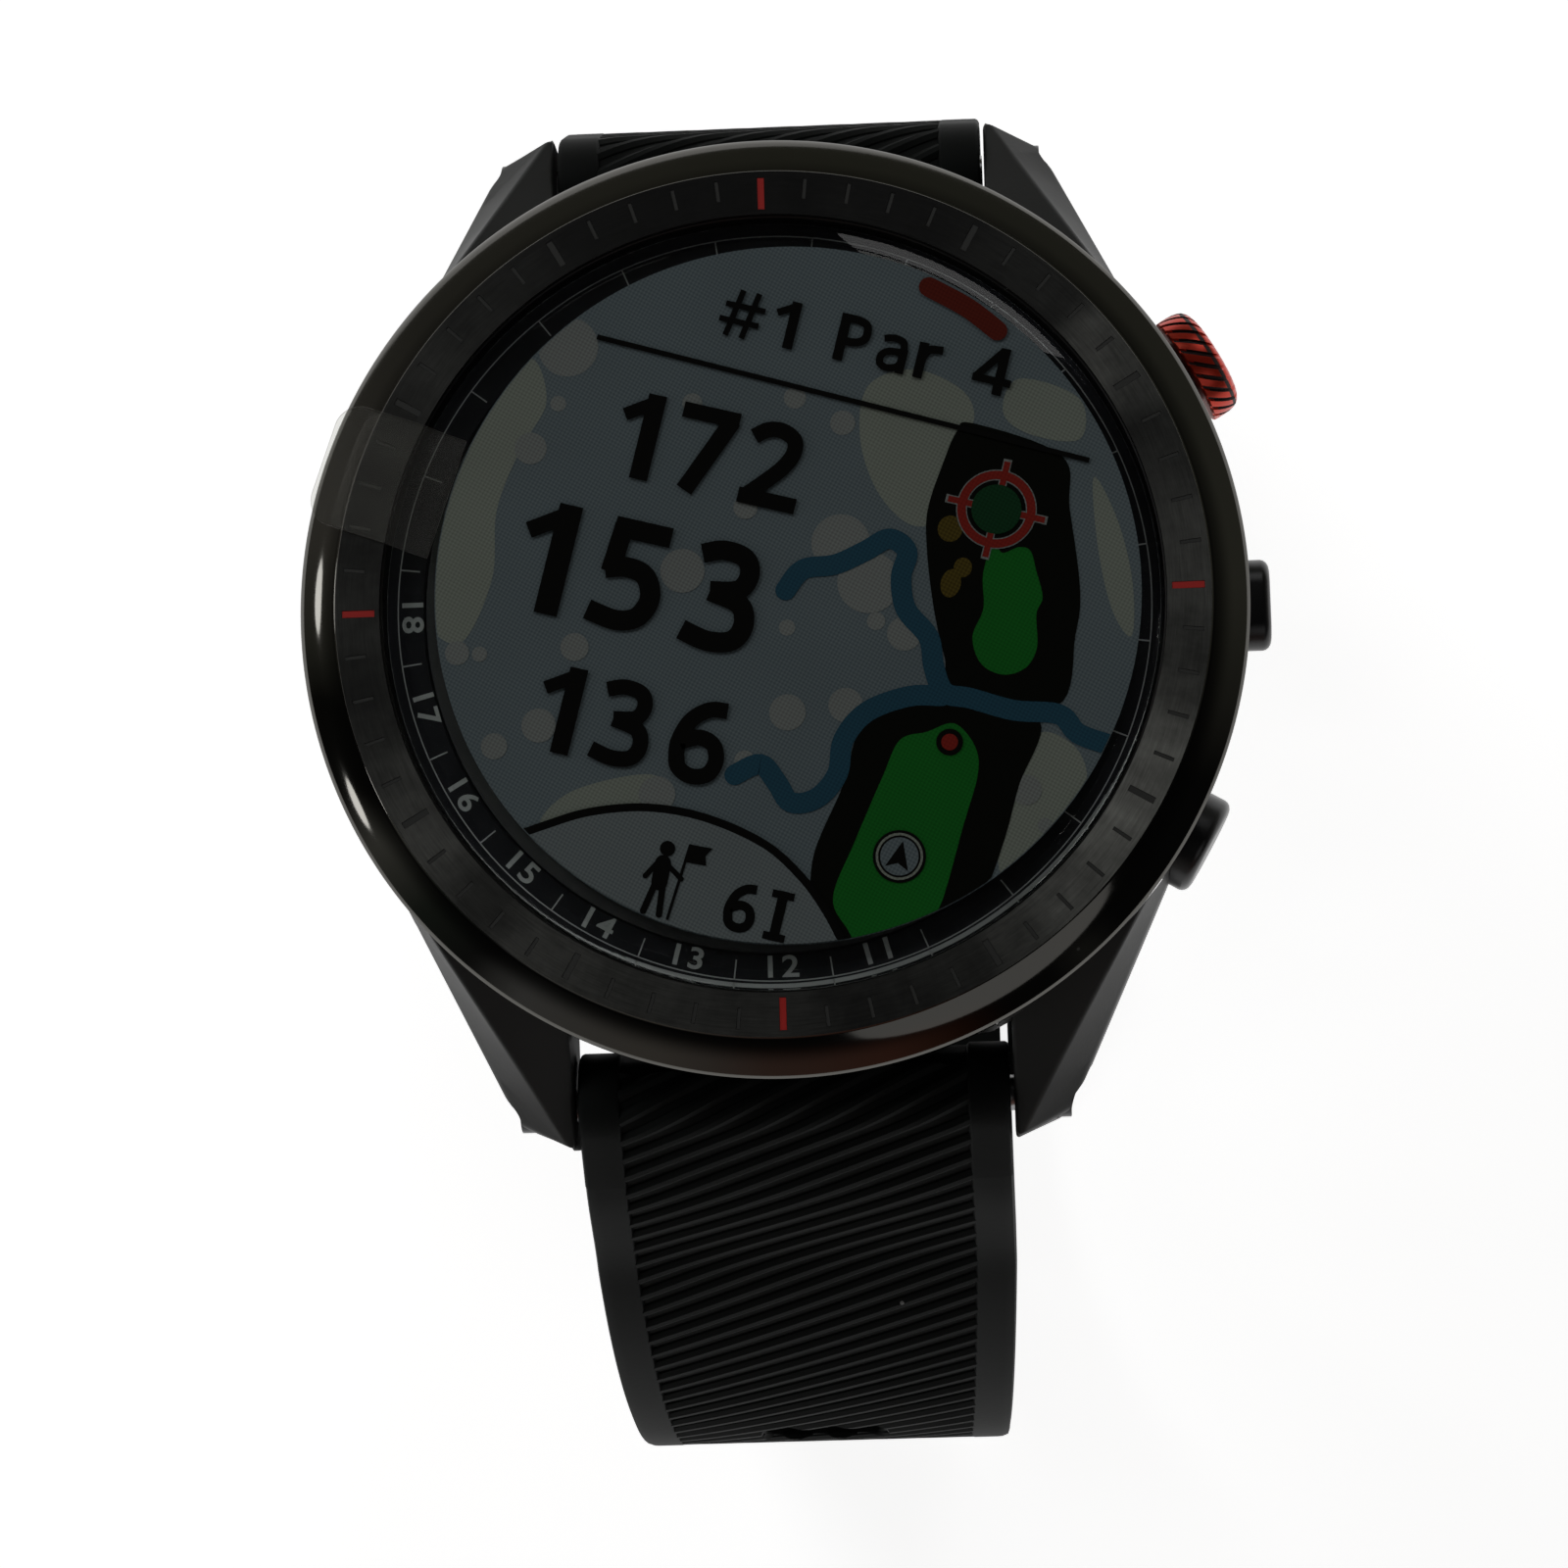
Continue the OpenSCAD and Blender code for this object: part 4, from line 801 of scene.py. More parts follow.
def makeLens():
    r, floor, top = lensR, lensFloor - dialTop, lensTop - dialTop
    profile = [(0.001, top), (r * 0.5, top), (r - 0.3, top), (r - 0.22, top - 0.03), (r - 0.06, top - 0.17),
               (r, top - 0.3), (r, floor + 0.08), (r - 0.08, floor), (r * 0.5, floor), (0.001, floor)]
    lens = lathe("displayGlass", profile, (paint["lensGlass"],), steps=180, soft=25)
    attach(lens, "case")
    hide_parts("display_lens")


def makeNumeralRing():
    low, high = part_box("numeral_ring")
    outer = high.x / mm
    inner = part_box("display_panel")[1].x / mm + 0.1
    bottom, top = low.z / mm - dialTop, high.z / mm - dialTop
    profile = [(inner, bottom), (outer, bottom), (outer, top), (dial["circleR"] + 0.06, top),
               (dial["circleR"] - 0.1, top), (inner + 0.05, top), (inner, top - 0.04)]
    ring = lathe("numeralRing", profile, (paint["ringBlack"],), steps=180)
    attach(ring, "case")
    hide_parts("numeral_ring")
    level = top + dialTop + 0.003
    pieces = []
    for n in range(dial["firstNumeral"], dial["lastNumeral"] + 1):
        angle = 90 - 15 * n
        numeral = textMesh("numeral", str(n), dial["numeralHeight"], paint["ringWhite"], 0.008, 0.018, 1.12,
                           1.2)
        a = math.radians(angle)
        setDown(numeral, dial["numeralR"] * math.cos(a), dial["numeralR"] * math.sin(a), level, angle + 90)
        pieces.append(numeral)
    r, w = dial["circleR"], dial["circleWidth"]
    line = [(r - w, top), (r, top), (r, top + 0.008), (r - w, top + 0.008)]
    pieces.append(lathe("circleLine", line, (paint["ringWhite"],), steps=180))
    numerals = join("dialNumerals", pieces)
    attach(numerals, "case")
    dividers = grow("numeralDividers", marksTree, {
        "Count": 24, "Step": 1, "Skip": 0, "Turn": math.radians(7.5),
        "Radius": (r - dial["dividerLength"] / 2) * mm,
        "Length": dial["dividerLength"] * mm, "Width": dial["dividerWidth"] * mm, "Thickness": 0.01 * mm,
        "Level": level * mm, "Material": paint["ringWhite"]})
    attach(dividers, "case")


film = {"discR": 18.25, "thickness": 0.09, "tabWidth": 6.2, "tabTurn": 160.4, "tabCorner": 1.3,
        "tabEnd": rimR - 0.12, "printR": 17.45, "printTurn": -15,
        "printPlace": (0.72, 0.42)}


def makeFilm():
    f = film
    base, t = lensTop - dialTop + 0.003, film["thickness"]
    disc = lathe("filmDisc", [(0.001, base), (f["discR"], base), (f["discR"], base + t), (0.001, base + t)],
                 (paint["clearFilm"],), steps=180)
    route = curveThrough([(17.0, base + t + 0.005), (17.5, base + t + 0.01), (18.1, base + t + 0.12),
                          (18.8, -0.2),
                          (19.3, 0.03), (20.0, 0.045), (21.6, 0.035), (f["tabEnd"], 0.035)], False, 6)
    half, corner = f["tabWidth"] / 2, f["tabCorner"]
    a = math.radians(f["tabTurn"])
    along, across = Vector((math.cos(a), math.sin(a), 0)), Vector((-math.sin(a), math.cos(a), 0))
    rings = []
    last = [f["tabEnd"] - corner * (1 - math.sin(math.radians(q))) for q in range(0, 91, 9)]
    path = [p for p in route if p[0] < last[0]] + [(u, 0.035) for u in last]
    for u, z in path:
        into = max(u - last[0], 0)
        w = half - corner + math.sqrt(max(corner ** 2 - into ** 2, 0)) if into > 0 else half
        w = max(w, half - corner + 0.01)
        ring = []
        for k in range(9):
            ring.append(along * u + across * lerp(-w, w, k / 8) + Vector((0, 0, dialTop + z)))
        for k in range(8, -1, -1):
            ring.append(along * u + across * lerp(-w, w, k / 8) + Vector((0, 0, dialTop + z + t)))
        rings.append([tuple(p) for p in ring])
    # the tab's side faces and end caps carry the painted edge highlight
    sides = [1 if k in (8, 17) else 0 for k in range(18)]
    tab = loft("filmTab", rings, (paint["tabFilm"], paint["filmEdgeHighlight"]), sides, soft=50, capMat=1)
    sheet = join("screenFilm", [disc, tab], 50)
    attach(sheet, "case")
    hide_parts("screen_film")


# The picture on the film: x and y in millimetres on a dial whose picture stands upright
picture = {
    "fairwayOne": [(6.9, 10.3), (7.6, 10.9), (12.2, 10.3), (13.2, 7.8), (14.6, 4.0), (14.9, 1.7),
                   (14.8, -1.9), (9.8, -2.2), (8.9, -0.8), (7.8, 1.5), (6.8, 4.3), (6.4, 6.2), (6.6, 8.6)],
    "fairwayTwo": [(5.8, -4.8), (8.2, -3.4), (11.1, -2.7), (14.2, -2.9), (13.9, -6.1), (13.8, -9.0),
                   (13.4, -11.9),
                   (12.4, -13.9), (11.0, -15.2), (8.8, -16.4), (6.0, -15.0), (4.9, -12.1), (5.5, -8.1)],
    "greenOne": [(9.9, 5.2), (10.5, 4.9), (11.2, 5.35), (11.8, 5.3), (12.3, 4.4), (12.9, 3.2), (12.8, 2.3),
                 (13.2, 0.7), (12.9, -0.4), (11.9, -1.0), (10.7, -0.7), (10.0, 0.5), (10.2, 2.0), (9.8, 3.6)],
    "greenTwo": [(8.9, -4.6), (10.1, -3.9), (11.3, -4.7), (11.8, -6.0), (11.7, -8.6), (11.4, -13.5),
                 (10.2, -15.0), (8.5, -16.0), (7.4, -15.0), (6.3, -13.6), (6.7, -10.7), (7.3, -7.2),
                 (7.7, -5.3)],
    "creekOne": [(0.5, 0.7), (1.1, 1.9), (2.6, 2.5), (3.9, 3.5), (4.9, 4.35), (5.9, 3.9), (5.9, 2.6),
                 (6.5, 1.1),
                 (7.9, 0.0), (8.5, -1.4), (9.3, -2.5), (10.6, -2.5), (12.8, -2.6), (15.0, -2.3), (16.1, -3.0),
                 (17.6, -3.2)],
    "creekTwo": [(9.2, -2.7), (7.6, -3.1), (5.8, -4.3), (5.0, -5.9), (5.1, -7.6), (4.4, -9.0), (3.2, -9.5),
                 (2.3, -8.7), (1.3, -8.0), (0.2, -8.8)],
    "creekWidth": 1.02, "bunkers": [(7.7, 5.5, 0.62, 0.66), (8.75, 3.75, 0.45, 0.5), (8.35, 2.85, 0.5, 0.72)],
    "sight": (9.7, 6.95, 1.72, 0.42), "pin": (10.1, -4.85, 0.66), "arrow": (9.0, -10.9, 1.3),
    "bubble": [(-9.9, -14.4), (-8.4, -13.4), (-6.3, -12.2), (-3.6, -11.35), (-0.7, -11.2), (2.4, -11.8),
               (4.6, -13.0), (6.2, -14.4), (7.4, -15.8)],
    "headerLine": [(-11.6, 11.0), (13.6, 10.35)], "pill": [(3.9, 17.1), (6.0, 16.5), (7.7, 15.7)],
    "words": [("#1 Par 4", -5.95, 12.5, 2.4, 1.13), ("172", -9.75, 4.45, 4.35, 1.0),
              ("153", -13.15, -3.15, 5.6, 1.0), ("136", -10.35, -9.75, 4.35, 1.02),
              ("6I", 1.15, -16.35, 2.5, 1.0)],
    "golfer": (-2.1, -14.6),
    "spots": [(-12.9, 10.2, 1.5), (-12.7, 7.3, 0.39), (-13.5, 4.8, 0.8), (-1.3, 10.2, 0.55), (1.3, 9.5, 0.62),
              (1.0, -1.1, 0.4), (5.2, 0.2, 0.45), (6.7, -0.1, 0.85), (2.6, 3.6, 1.45), (4.4, 2.0, 1.55),
              (2.0, -5.2, 0.9), (4.7, -4.2, 0.85), (0.5, -8.0, 0.5), (-9.0, -4.4, 0.7), (-14.6, -6.0, 0.6),
              (-13.5, -5.8, 0.38), (-11.7, -10.1, 0.65), (-9.8, -8.6, 0.85), (-3.3, -10.6, 0.9),
              (-4.7, 0.5, 1.1),
              (-2.4, 4.3, 0.6), (14.3, -6.3, 0.75), (15.6, -7.8, 0.38), (-6.2, 8.8, 0.5), (0.6, -14.4, 0.75)],
    "blobs": [[(-14.8, 9.2), (-13.3, 7.3), (-14.0, 4.6), (-14.4, 1.4), (-13.8, -2.0), (-14.5, -5.4),
               (-16.4, -4.7), (-17.2, -0.6), (-17.3, 1.5), (-16.7, 5.0)],
              [(2.1, 11.6), (4.1, 12.9), (6.7, 12.4), (7.6, 10.9), (6.8, 8.2), (6.9, 5.8), (5.6, 5.3),
               (3.7, 6.6), (2.3, 9.0)],
              [(14.0, 9.6), (15.6, 7.8), (17.0, 5.0), (17.6, 2.3), (16.4, 3.3), (15.0, 6.2)],
              [(-8.6, -13.2), (-7.3, -11.3), (-3.8, -9.7), (-2.7, -10.9), (-5.3, -12.0), (-7.3, -13.4)],
              [(14.3, -3.4), (16.4, -3.9), (17.0, -6.2), (14.6, -10.6), (13.6, -9.4), (13.9, -6.1)],
              [(9.3, 13.6), (12.4, 13.3), (12.9, 11.3), (10.4, 11.0), (8.9, 11.8)]]}

# Bold letters drawn as strokes in a box one unit high; each stroke has its own weight
letters = {
    "1": (0.72, [([(0.42, 0), (0.42, 1)], 0.21, False), ([(0.44, 0.93), (0.1, 0.7)], 0.15, False)]),
    "7": (0.82, [([(0.02, 0.91), (0.68, 0.91)], 0.18, False), ([(0.6, 0.9), (0.24, 0)], 0.2, False)]),
    "2": (0.86, [([(0.06, 0.78), (0.2, 0.89), (0.37, 0.91), (0.52, 0.83), (0.54, 0.68), (0.46, 0.5),
                   (0.3, 0.3), (0.12, 0.1)], 0.18, True), ([(0.03, 0.09), (0.7, 0.09)], 0.18, False)]),
    "5": (0.87, [([(0.12, 0.91), (0.63, 0.91)], 0.18, False), ([(0.2, 0.94), (0.17, 0.5)], 0.17, False),
                 ([(0.12, 0.52), (0.3, 0.57), (0.48, 0.53), (0.57, 0.35), (0.5, 0.16), (0.32, 0.09),
                   (0.05, 0.13)], 0.18, True)]),
    "3": (0.84, [([(0.06, 0.84), (0.24, 0.91), (0.44, 0.88), (0.51, 0.74), (0.44, 0.59), (0.2, 0.53)], 0.175,
                  True),
                 ([(0.2, 0.53), (0.48, 0.47), (0.56, 0.3), (0.49, 0.14), (0.28, 0.09), (0.03, 0.14)], 0.18,
                  True)]),
    "6": (0.84, [([(0.58, 0.9), (0.38, 0.87), (0.2, 0.7), (0.12, 0.42), (0.17, 0.18)], 0.18, True),
                 ([(0.12, 0.42), (0.17, 0.18), (0.34, 0.09), (0.52, 0.15), (0.58, 0.32), (0.51, 0.49),
                   (0.34, 0.54), (0.14, 0.44)], 0.18, True)]),
    "4": (0.84, [([(0.5, 0.95), (0.08, 0.3)], 0.16, False), ([(0.02, 0.29), (0.74, 0.29)], 0.16, False),
                 ([(0.52, 0), (0.52, 1)], 0.2, False)]),
    "#": (0.94, [([(0.2, 0), (0.34, 1)], 0.12, False), ([(0.5, 0), (0.64, 1)], 0.12, False),
                 ([(0.02, 0.33), (0.76, 0.33)], 0.12, False), ([(0.08, 0.66), (0.82, 0.66)], 0.12, False)]),
    "P": (0.78, [([(0.12, 0), (0.12, 1)], 0.21, False),
                 ([(0.1, 0.91), (0.36, 0.91), (0.53, 0.82), (0.54, 0.57), (0.38, 0.44), (0.1, 0.43)], 0.17,
                  True)]),
    "a": (0.72, [([(0.5, 0), (0.5, 0.52)], 0.18, False),
                 ([(0.1, 0.66), (0.28, 0.71), (0.46, 0.66), (0.5, 0.48)], 0.15, True),
                 ([(0.5, 0.44), (0.24, 0.42), (0.11, 0.3), (0.13, 0.12), (0.28, 0.07), (0.44, 0.14),
                   (0.5, 0.26)], 0.15, True)]),
    "r": (0.56, [([(0.12, 0), (0.12, 0.76)], 0.2, False), ([(0.14, 0.45), (0.24, 0.63), (0.48, 0.67)], 0.17,
                                                           True)]),
    "I": (0.6, [([(0.27, 0), (0.27, 1)], 0.2, False), ([(0.05, 0.08), (0.49, 0.08)], 0.15, False),
                ([(0.05, 0.92), (0.49, 0.92)], 0.15, False)]),
    " ": (0.52, [])}


def trimmed(points, radius):    # keeps flat points inside a circle
    out = []
    for x, y in points:
        d = math.hypot(x, y)
        out.append((x * radius / d, y * radius / d) if d > radius else (x, y))
    return out


def flatShape(name, points, level, mat, thickness=0.01):    # a closed sheet of ink with the given outline
    kept = [p for i, p in enumerate(points)
            if math.dist(p, points[i - 1]) > 0.004]
    n = len(kept)
    verts = [(x, y, level) for x, y in kept] + [(x, y, level + thickness) for x, y in kept]
    faces = [tuple(range(n)), tuple(range(2 * n - 1, n - 1, -1))]
    faces += [(i, (i + 1) % n, n + (i + 1) % n, n + i) for i in range(n)]
    return addMesh(name, verts, faces, (mat,), soft=20)


def stripFaces(count):
    faces = [(4 * i + k, 4 * i + (k + 1) % 4, 4 * i + 4 + (k + 1) % 4, 4 * i + 4 + k)
             for i in range(count - 1) for k in range(4)]
    last = 4 * (count - 1)
    return faces + [(3, 2, 1, 0), (last, last + 1, last + 2, last + 3)]


def ribbonShape(name, points, width, level, mat, flatEnds=False, thickness=0.01):    # an inked line
    line = [Vector(p) for p in points]
    half, stations = width / 2, []
    for i, p in enumerate(line):
        run = (line[min(i + 1, len(line) - 1)] - line[max(i - 1, 0)]).normalized()
        stations.append((p, run, half))
    if not flatEnds:
        for index, sign in ((0, -1), (-1, 1)):
            p, run = stations[index][:2]
            ends = [(p + run * sign * half * math.sin(math.radians(q)), run, half * math.cos(math.radians(q))
                     + 0.002)
                    for q in (22, 45, 62, 76, 90)]
            stations = list(reversed(ends)) + stations if sign < 0 else stations + ends
    corners = []
    for p, run, w in stations:
        side = Vector((-run.y, run.x)) * w
        corners += [(*(p + side), level), (*(p - side), level), (*(p - side), level + thickness),
                    (*(p + side), level + thickness)]
    return addMesh(name, corners, stripFaces(len(stations)), (mat,), soft=20, turnOut=False)


def ovalPoints(x, y, rx, ry=None, steps=40):
    return [(x + rx * math.cos(2 * math.pi * k / steps), y + (ry or rx) * math.sin(2 * math.pi * k / steps))
            for k in range(steps)]


class Layers:    # hands out rising levels, so that no two inked shapes share one
    def __init__(self, start):
        self.level = start

    def up(self, step=0.003):
        self.level += step
        return self.level


def writeWords(words, x, y, height, stretch, layers):
    parts = []
    for letter in words:
        advance, strokes = letters[letter]
        for points, weight, curved in strokes:
            run = curveThrough(points, False, 6) if curved else points
            placed = [(x + u * height * stretch, y + v * height) for u, v in run]
            parts.append(ribbonShape("stroke", placed, weight * height, layers.up(0.0008), paint["printInk"],
                                     flatEnds=True))
        x += advance * height * stretch
    return parts


def makePicture():
    p, radius, turn = picture, film["printR"], math.radians(film["printTurn"])
    px, py = film["printPlace"]
    limit = radius - 0.05
    base = lensTop + film["thickness"] + 0.005
    ground = lathe("printSheet", [(0.001, base - dialTop), (radius, base - dialTop),
                                  (radius, base - dialTop + 0.02), (0.001, base - dialTop + 0.02)],
                   (paint["printGround"],), steps=160)
    ground.data.transform(Matrix.Translation((px * mm, py * mm, 0)))
    shapes = {"fairway": [], "green": [], "creek": [], "ink": [], "red": [], "sand": [], "pale": []}
    layers = Layers(base + 0.017)
    # The shapes are kept inside the sheet, whose middle is here in the upright picture
    middle = (px * math.cos(-turn) - py * math.sin(-turn), px * math.sin(-turn) + py * math.cos(-turn))

    def inside(points):
        moved = trimmed([(x - middle[0], y - middle[1]) for x, y in points], limit)
        return [(x + middle[0], y + middle[1]) for x, y in moved]

    def lay(key, points, mat, step=0.003):
        shapes[key].append(flatShape(key, inside(points), layers.up(step), paint[mat]))

    def line(key, points, width, mat, flatEnds=False):
        shape = ribbonShape(key, points, width, layers.up(), paint[mat], flatEnds=flatEnds)
        shapes[key].append(shape)

    for outline in p["blobs"]:
        lay("pale", curveThrough(outline), "printPale", 0.001)
    for x, y, r in p["spots"]:
        lay("pale", ovalPoints(x, y, r, steps=28), "printSpot", 0.0008)
    for key in ("fairwayOne", "fairwayTwo"):
        lay("fairway", curveThrough(p[key]), "printFairway")
    for key in ("creekTwo", "creekOne"):
        run = curveThrough(p[key], False, 6)
        shape = ribbonShape("creek", run, p["creekWidth"], layers.up(), paint["printCreek"])
        keepInside(shape, middle, limit)
        shapes["creek"].append(shape)
    for key in ("greenOne", "greenTwo"):
        lay("green", curveThrough(p[key]), "printGreen")
    for x, y, rx, ry in p["bunkers"]:
        lay("sand", ovalPoints(x, y, rx, ry, steps=24), "printSand")
    x, y, r, w = p["sight"]
    for growth, mat in ((0.12, "printSpot"), (0.0, "printRed")):
        for k in range(4):
            a = math.radians(90 * k)
            ends = [(x + d * math.cos(a), y + d * math.sin(a)) for d in (r * 0.5 - growth, r * 1.42 + growth)]
            line("red", ends, 0.3 + growth, mat, True)
        shapes["red"].append(ringShape(ovalPoints(x, y, r + w / 2 + growth / 2, steps=48),
                                       ovalPoints(x, y, r - w / 2 - growth / 2, steps=48), layers.up(),
                                       paint[mat]))
    lay("green", ovalPoints(x, y, r * 0.72, steps=32), "printDeepGreen")
    x, y, r = p["pin"]
    lay("ink", ovalPoints(x, y, r), "printFairway")
    lay("red", ovalPoints(x, y, r * 0.62), "printRed")
    x, y, r = p["arrow"]
    lay("ink", ovalPoints(x, y, r), "printInk")
    lay("pale", ovalPoints(x, y, r - 0.14), "printPale")
    lay("ink", ovalPoints(x, y, r - 0.26), "printInk")
    lay("pale", ovalPoints(x, y, r - 0.36), "printGround")
    lay("ink", [(x, y + 0.78), (x + 0.58, y - 0.62), (x, y - 0.34), (x - 0.58, y - 0.62)], "printInk")
    arc = curveThrough(p["bubble"], False)
    shapes["pale"].append(stripToEdge(inside(arc), middle, limit, layers.up(), paint["printBubble"]))
    band = ribbonShape("arc", arc, 0.4, layers.up(), paint["printInk"])
    keepInside(band, middle, limit)
    shapes["ink"].append(band)
    line("ink", p["headerLine"], 0.26, "printInk", True)
    pill = ribbonShape("pill", curveThrough(p["pill"], False), 1.0, layers.up(), paint["printPill"])
    keepInside(pill, middle, limit)
    shapes["red"].append(pill)
    for words, x, y, height, stretch in p["words"]:
        shapes["ink"] += writeWords(words, x, y, height, stretch, layers)
    shapes["ink"] += golferShapes(*p["golfer"], layers)
    spin = Matrix.Rotation(turn, 4, "Z")
    for key, parts in shapes.items():
        obj = join("print" + key.capitalize(), parts, 20)
        obj.data.transform(spin)
        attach(obj, "case")
    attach(ground, "case")


def stripToEdge(points, middle, limit, level, mat, thickness=0.01):    # fills out to the edge of the sheet
    corners = []
    for x, y in points:
        out = (Vector((x, y)) - Vector(middle)).normalized() * limit + Vector(middle)
        corners += [(x, y, level), (out.x, out.y, level), (out.x, out.y, level + thickness),
                    (x, y, level + thickness)]
    return addMesh("strip", corners, stripFaces(len(points)), (mat,), soft=20)


def keepInside(obj, middle, limit):    # draws in the points of an inked shape that pass the edge of the sheet
    for vert in obj.data.vertices:
        offset = Vector((vert.co.x / mm - middle[0], vert.co.y / mm - middle[1]))
        if offset.length > limit:
            offset *= limit / offset.length
            vert.co.x, vert.co.y = (middle[0] + offset.x) * mm, (middle[1] + offset.y) * mm


def ringShape(outer, inner, level, mat, thickness=0.01):
    n = len(outer)
    rings = [[(x, y, level) for x, y in outer], [(x, y, level + thickness) for x, y in outer],
             [(x, y, level + thickness) for x, y in inner], [(x, y, level) for x, y in inner]]
    points = [q for ring in rings for q in ring]
    faces = [(i * n + j, i * n + (j + 1) % n, ((i + 1) % 4) * n + (j + 1) % n, ((i + 1) % 4) * n + j)
             for i in range(4) for j in range(n)]
    return addMesh("ring", points, faces, (mat,), soft=20)


def golferShapes(x, y, layers):    # a plain stick figure holding a flag
    mat = paint["printInk"]
    lines = [([(x - 0.1, y + 0.75), (x - 0.05, y - 0.2)], 0.8), ([(x - 0.2, y - 0.1), (x - 0.5, y - 1.75)],
                                                                 0.32),
             ([(x + 0.12, y - 0.1), (x + 0.3, y - 1.75)], 0.32), ([(x + 0.1, y + 0.75), (x + 0.95, y + 0.2)],
                                                                  0.26),
             ([(x - 0.35, y + 0.75), (x - 0.8, y - 0.05)], 0.26), ([(x + 1.0, y + 1.9), (x + 0.75, y - 1.85)],
                                                                   0.14)]
    out = [ribbonShape("limb", points, width, layers.up(0.001), mat) for points, width in lines]
    out.append(flatShape("head", ovalPoints(x - 0.05, y + 1.5, 0.38, steps=20), layers.up(0.001), mat))
    flag = [(x + 1.0, y + 1.95), (x + 2.1, y + 2.0), (x + 1.85, y + 1.55), (x + 2.0, y + 1.1),
            (x + 0.95, y + 1.05)]
    out.append(flatShape("flag", flag, layers.up(0.001), mat))
    return out


makeLens()
makeNumeralRing()
makeFilm()
makePicture()
print("dial done")


# Case shell with four faceted lugs

case = {"outerR": rimR - 0.3, "cavityR": 19.4, "ledgeR": 18.4,
        "coverR": 20.3, "flatY": 20.9, "lugGap": 22.1, "lugTip": 26.3, "lugEdge": 0.22, "backDrop": 12.0,
        "coverDrop": 10.95, "earX": 12.45, "earY": 17.2, "earR": 1.8, "buttonDrop": 6.9, "buttonTurn": 30}


def axisPoint(turn, r, lift=0.0, side=0.0):    # a point on a button's axis, r from the middle of the case
    a = math.radians(turn)
    return (r * math.cos(a) - side * math.sin(a), r * math.sin(a) + side * math.cos(a),
            dialTop - case["buttonDrop"] + lift)


def ovalRod(name, turn, r0, r1, wide, high, mats=(), steps=12):    # a round-ended bar across a button's axis
    half, reach = high / 2, (wide - high) / 2
    outline = [(reach + half * math.cos(a), half * math.sin(a))
               for a in [-math.pi / 2 + math.pi * k / steps for k in range(steps + 1)]]
    outline += [(-reach - half * math.cos(a), -half * math.sin(a))
                for a in [-math.pi / 2 + math.pi * k / steps for k in range(steps + 1)]]
    return loft(name, [[axisPoint(turn, r, lift, side) for side, lift in outline] for r in (r0, r1)], mats)


def makeLug(xSide, ySide):
    c = case
    inner, tip = c["lugGap"] / 2, c["lugTip"]
    stations = 7
    rings = []
    for i in range(stations):
        t = i / (stations - 1)
        innerY, innerZ = lerp(15.4, tip - 0.3, t), lerp(-4.0, -9.6, t ** 1.1)
        creaseX, creaseY = lerp(18.0, inner + 0.2, t), lerp(15.0, tip - 0.12, t)
        creaseZ = lerp(-2.95, -9.35, t ** 1.1)
        outX, outY, outZ = lerp(20.9, 13.95, t), lerp(9.9, 24.75, t), lerp(-4.6, -9.75, t)
        drop = lerp(-c["backDrop"] + 0.02, -12.9, eased(t * 1.4))
        ring = [(inner, innerY, innerZ), (creaseX, creaseY, creaseZ), (outX, outY, outZ),
                (outX, outY, lerp(outZ, drop, 0.62)), (lerp(outX, inner, 0.2), lerp(outY, innerY, 0.2), drop),
                (inner, innerY, drop)]
        rings.append([(x * xSide, y * ySide, dialTop + z) for x, y, z in ring])
    lug = loft("lug", rings, (paint["casePolymer"],))
    rounded(lug, c["lugEdge"], 3, 14)
    cavity = [(0.001, -2.0), (c["cavityR"], -2.0), (c["cavityR"], -c["coverDrop"]),
              (c["coverR"], -c["coverDrop"]), (c["coverR"], -15), (0.001, -15)]
    cut(lug, lathe("cavity", cavity, (), steps=180))
    ear = (c["earX"] * xSide, c["earY"] * ySide)
    cut(lug, rod("ear", (*ear, dialTop - 16), (*ear, dialTop - c["coverDrop"]), c["earR"]))
    barPlace = barY * ySide
    cut(lug, rod("hole", (9 * xSide, barPlace, barZ), (15.5 * xSide, barPlace, barZ), 0.92))
    cut(lug, rod("head", (13.15 * xSide, barPlace, barZ), (18 * xSide, barPlace, barZ), 1.4))
    if xSide > 0:
        cut(lug, rod("pocket", axisPoint(c["buttonTurn"] * ySide, 20.9),
                     axisPoint(c["buttonTurn"] * ySide, 27), 1.75 if ySide > 0 else 2.6))
    return lug


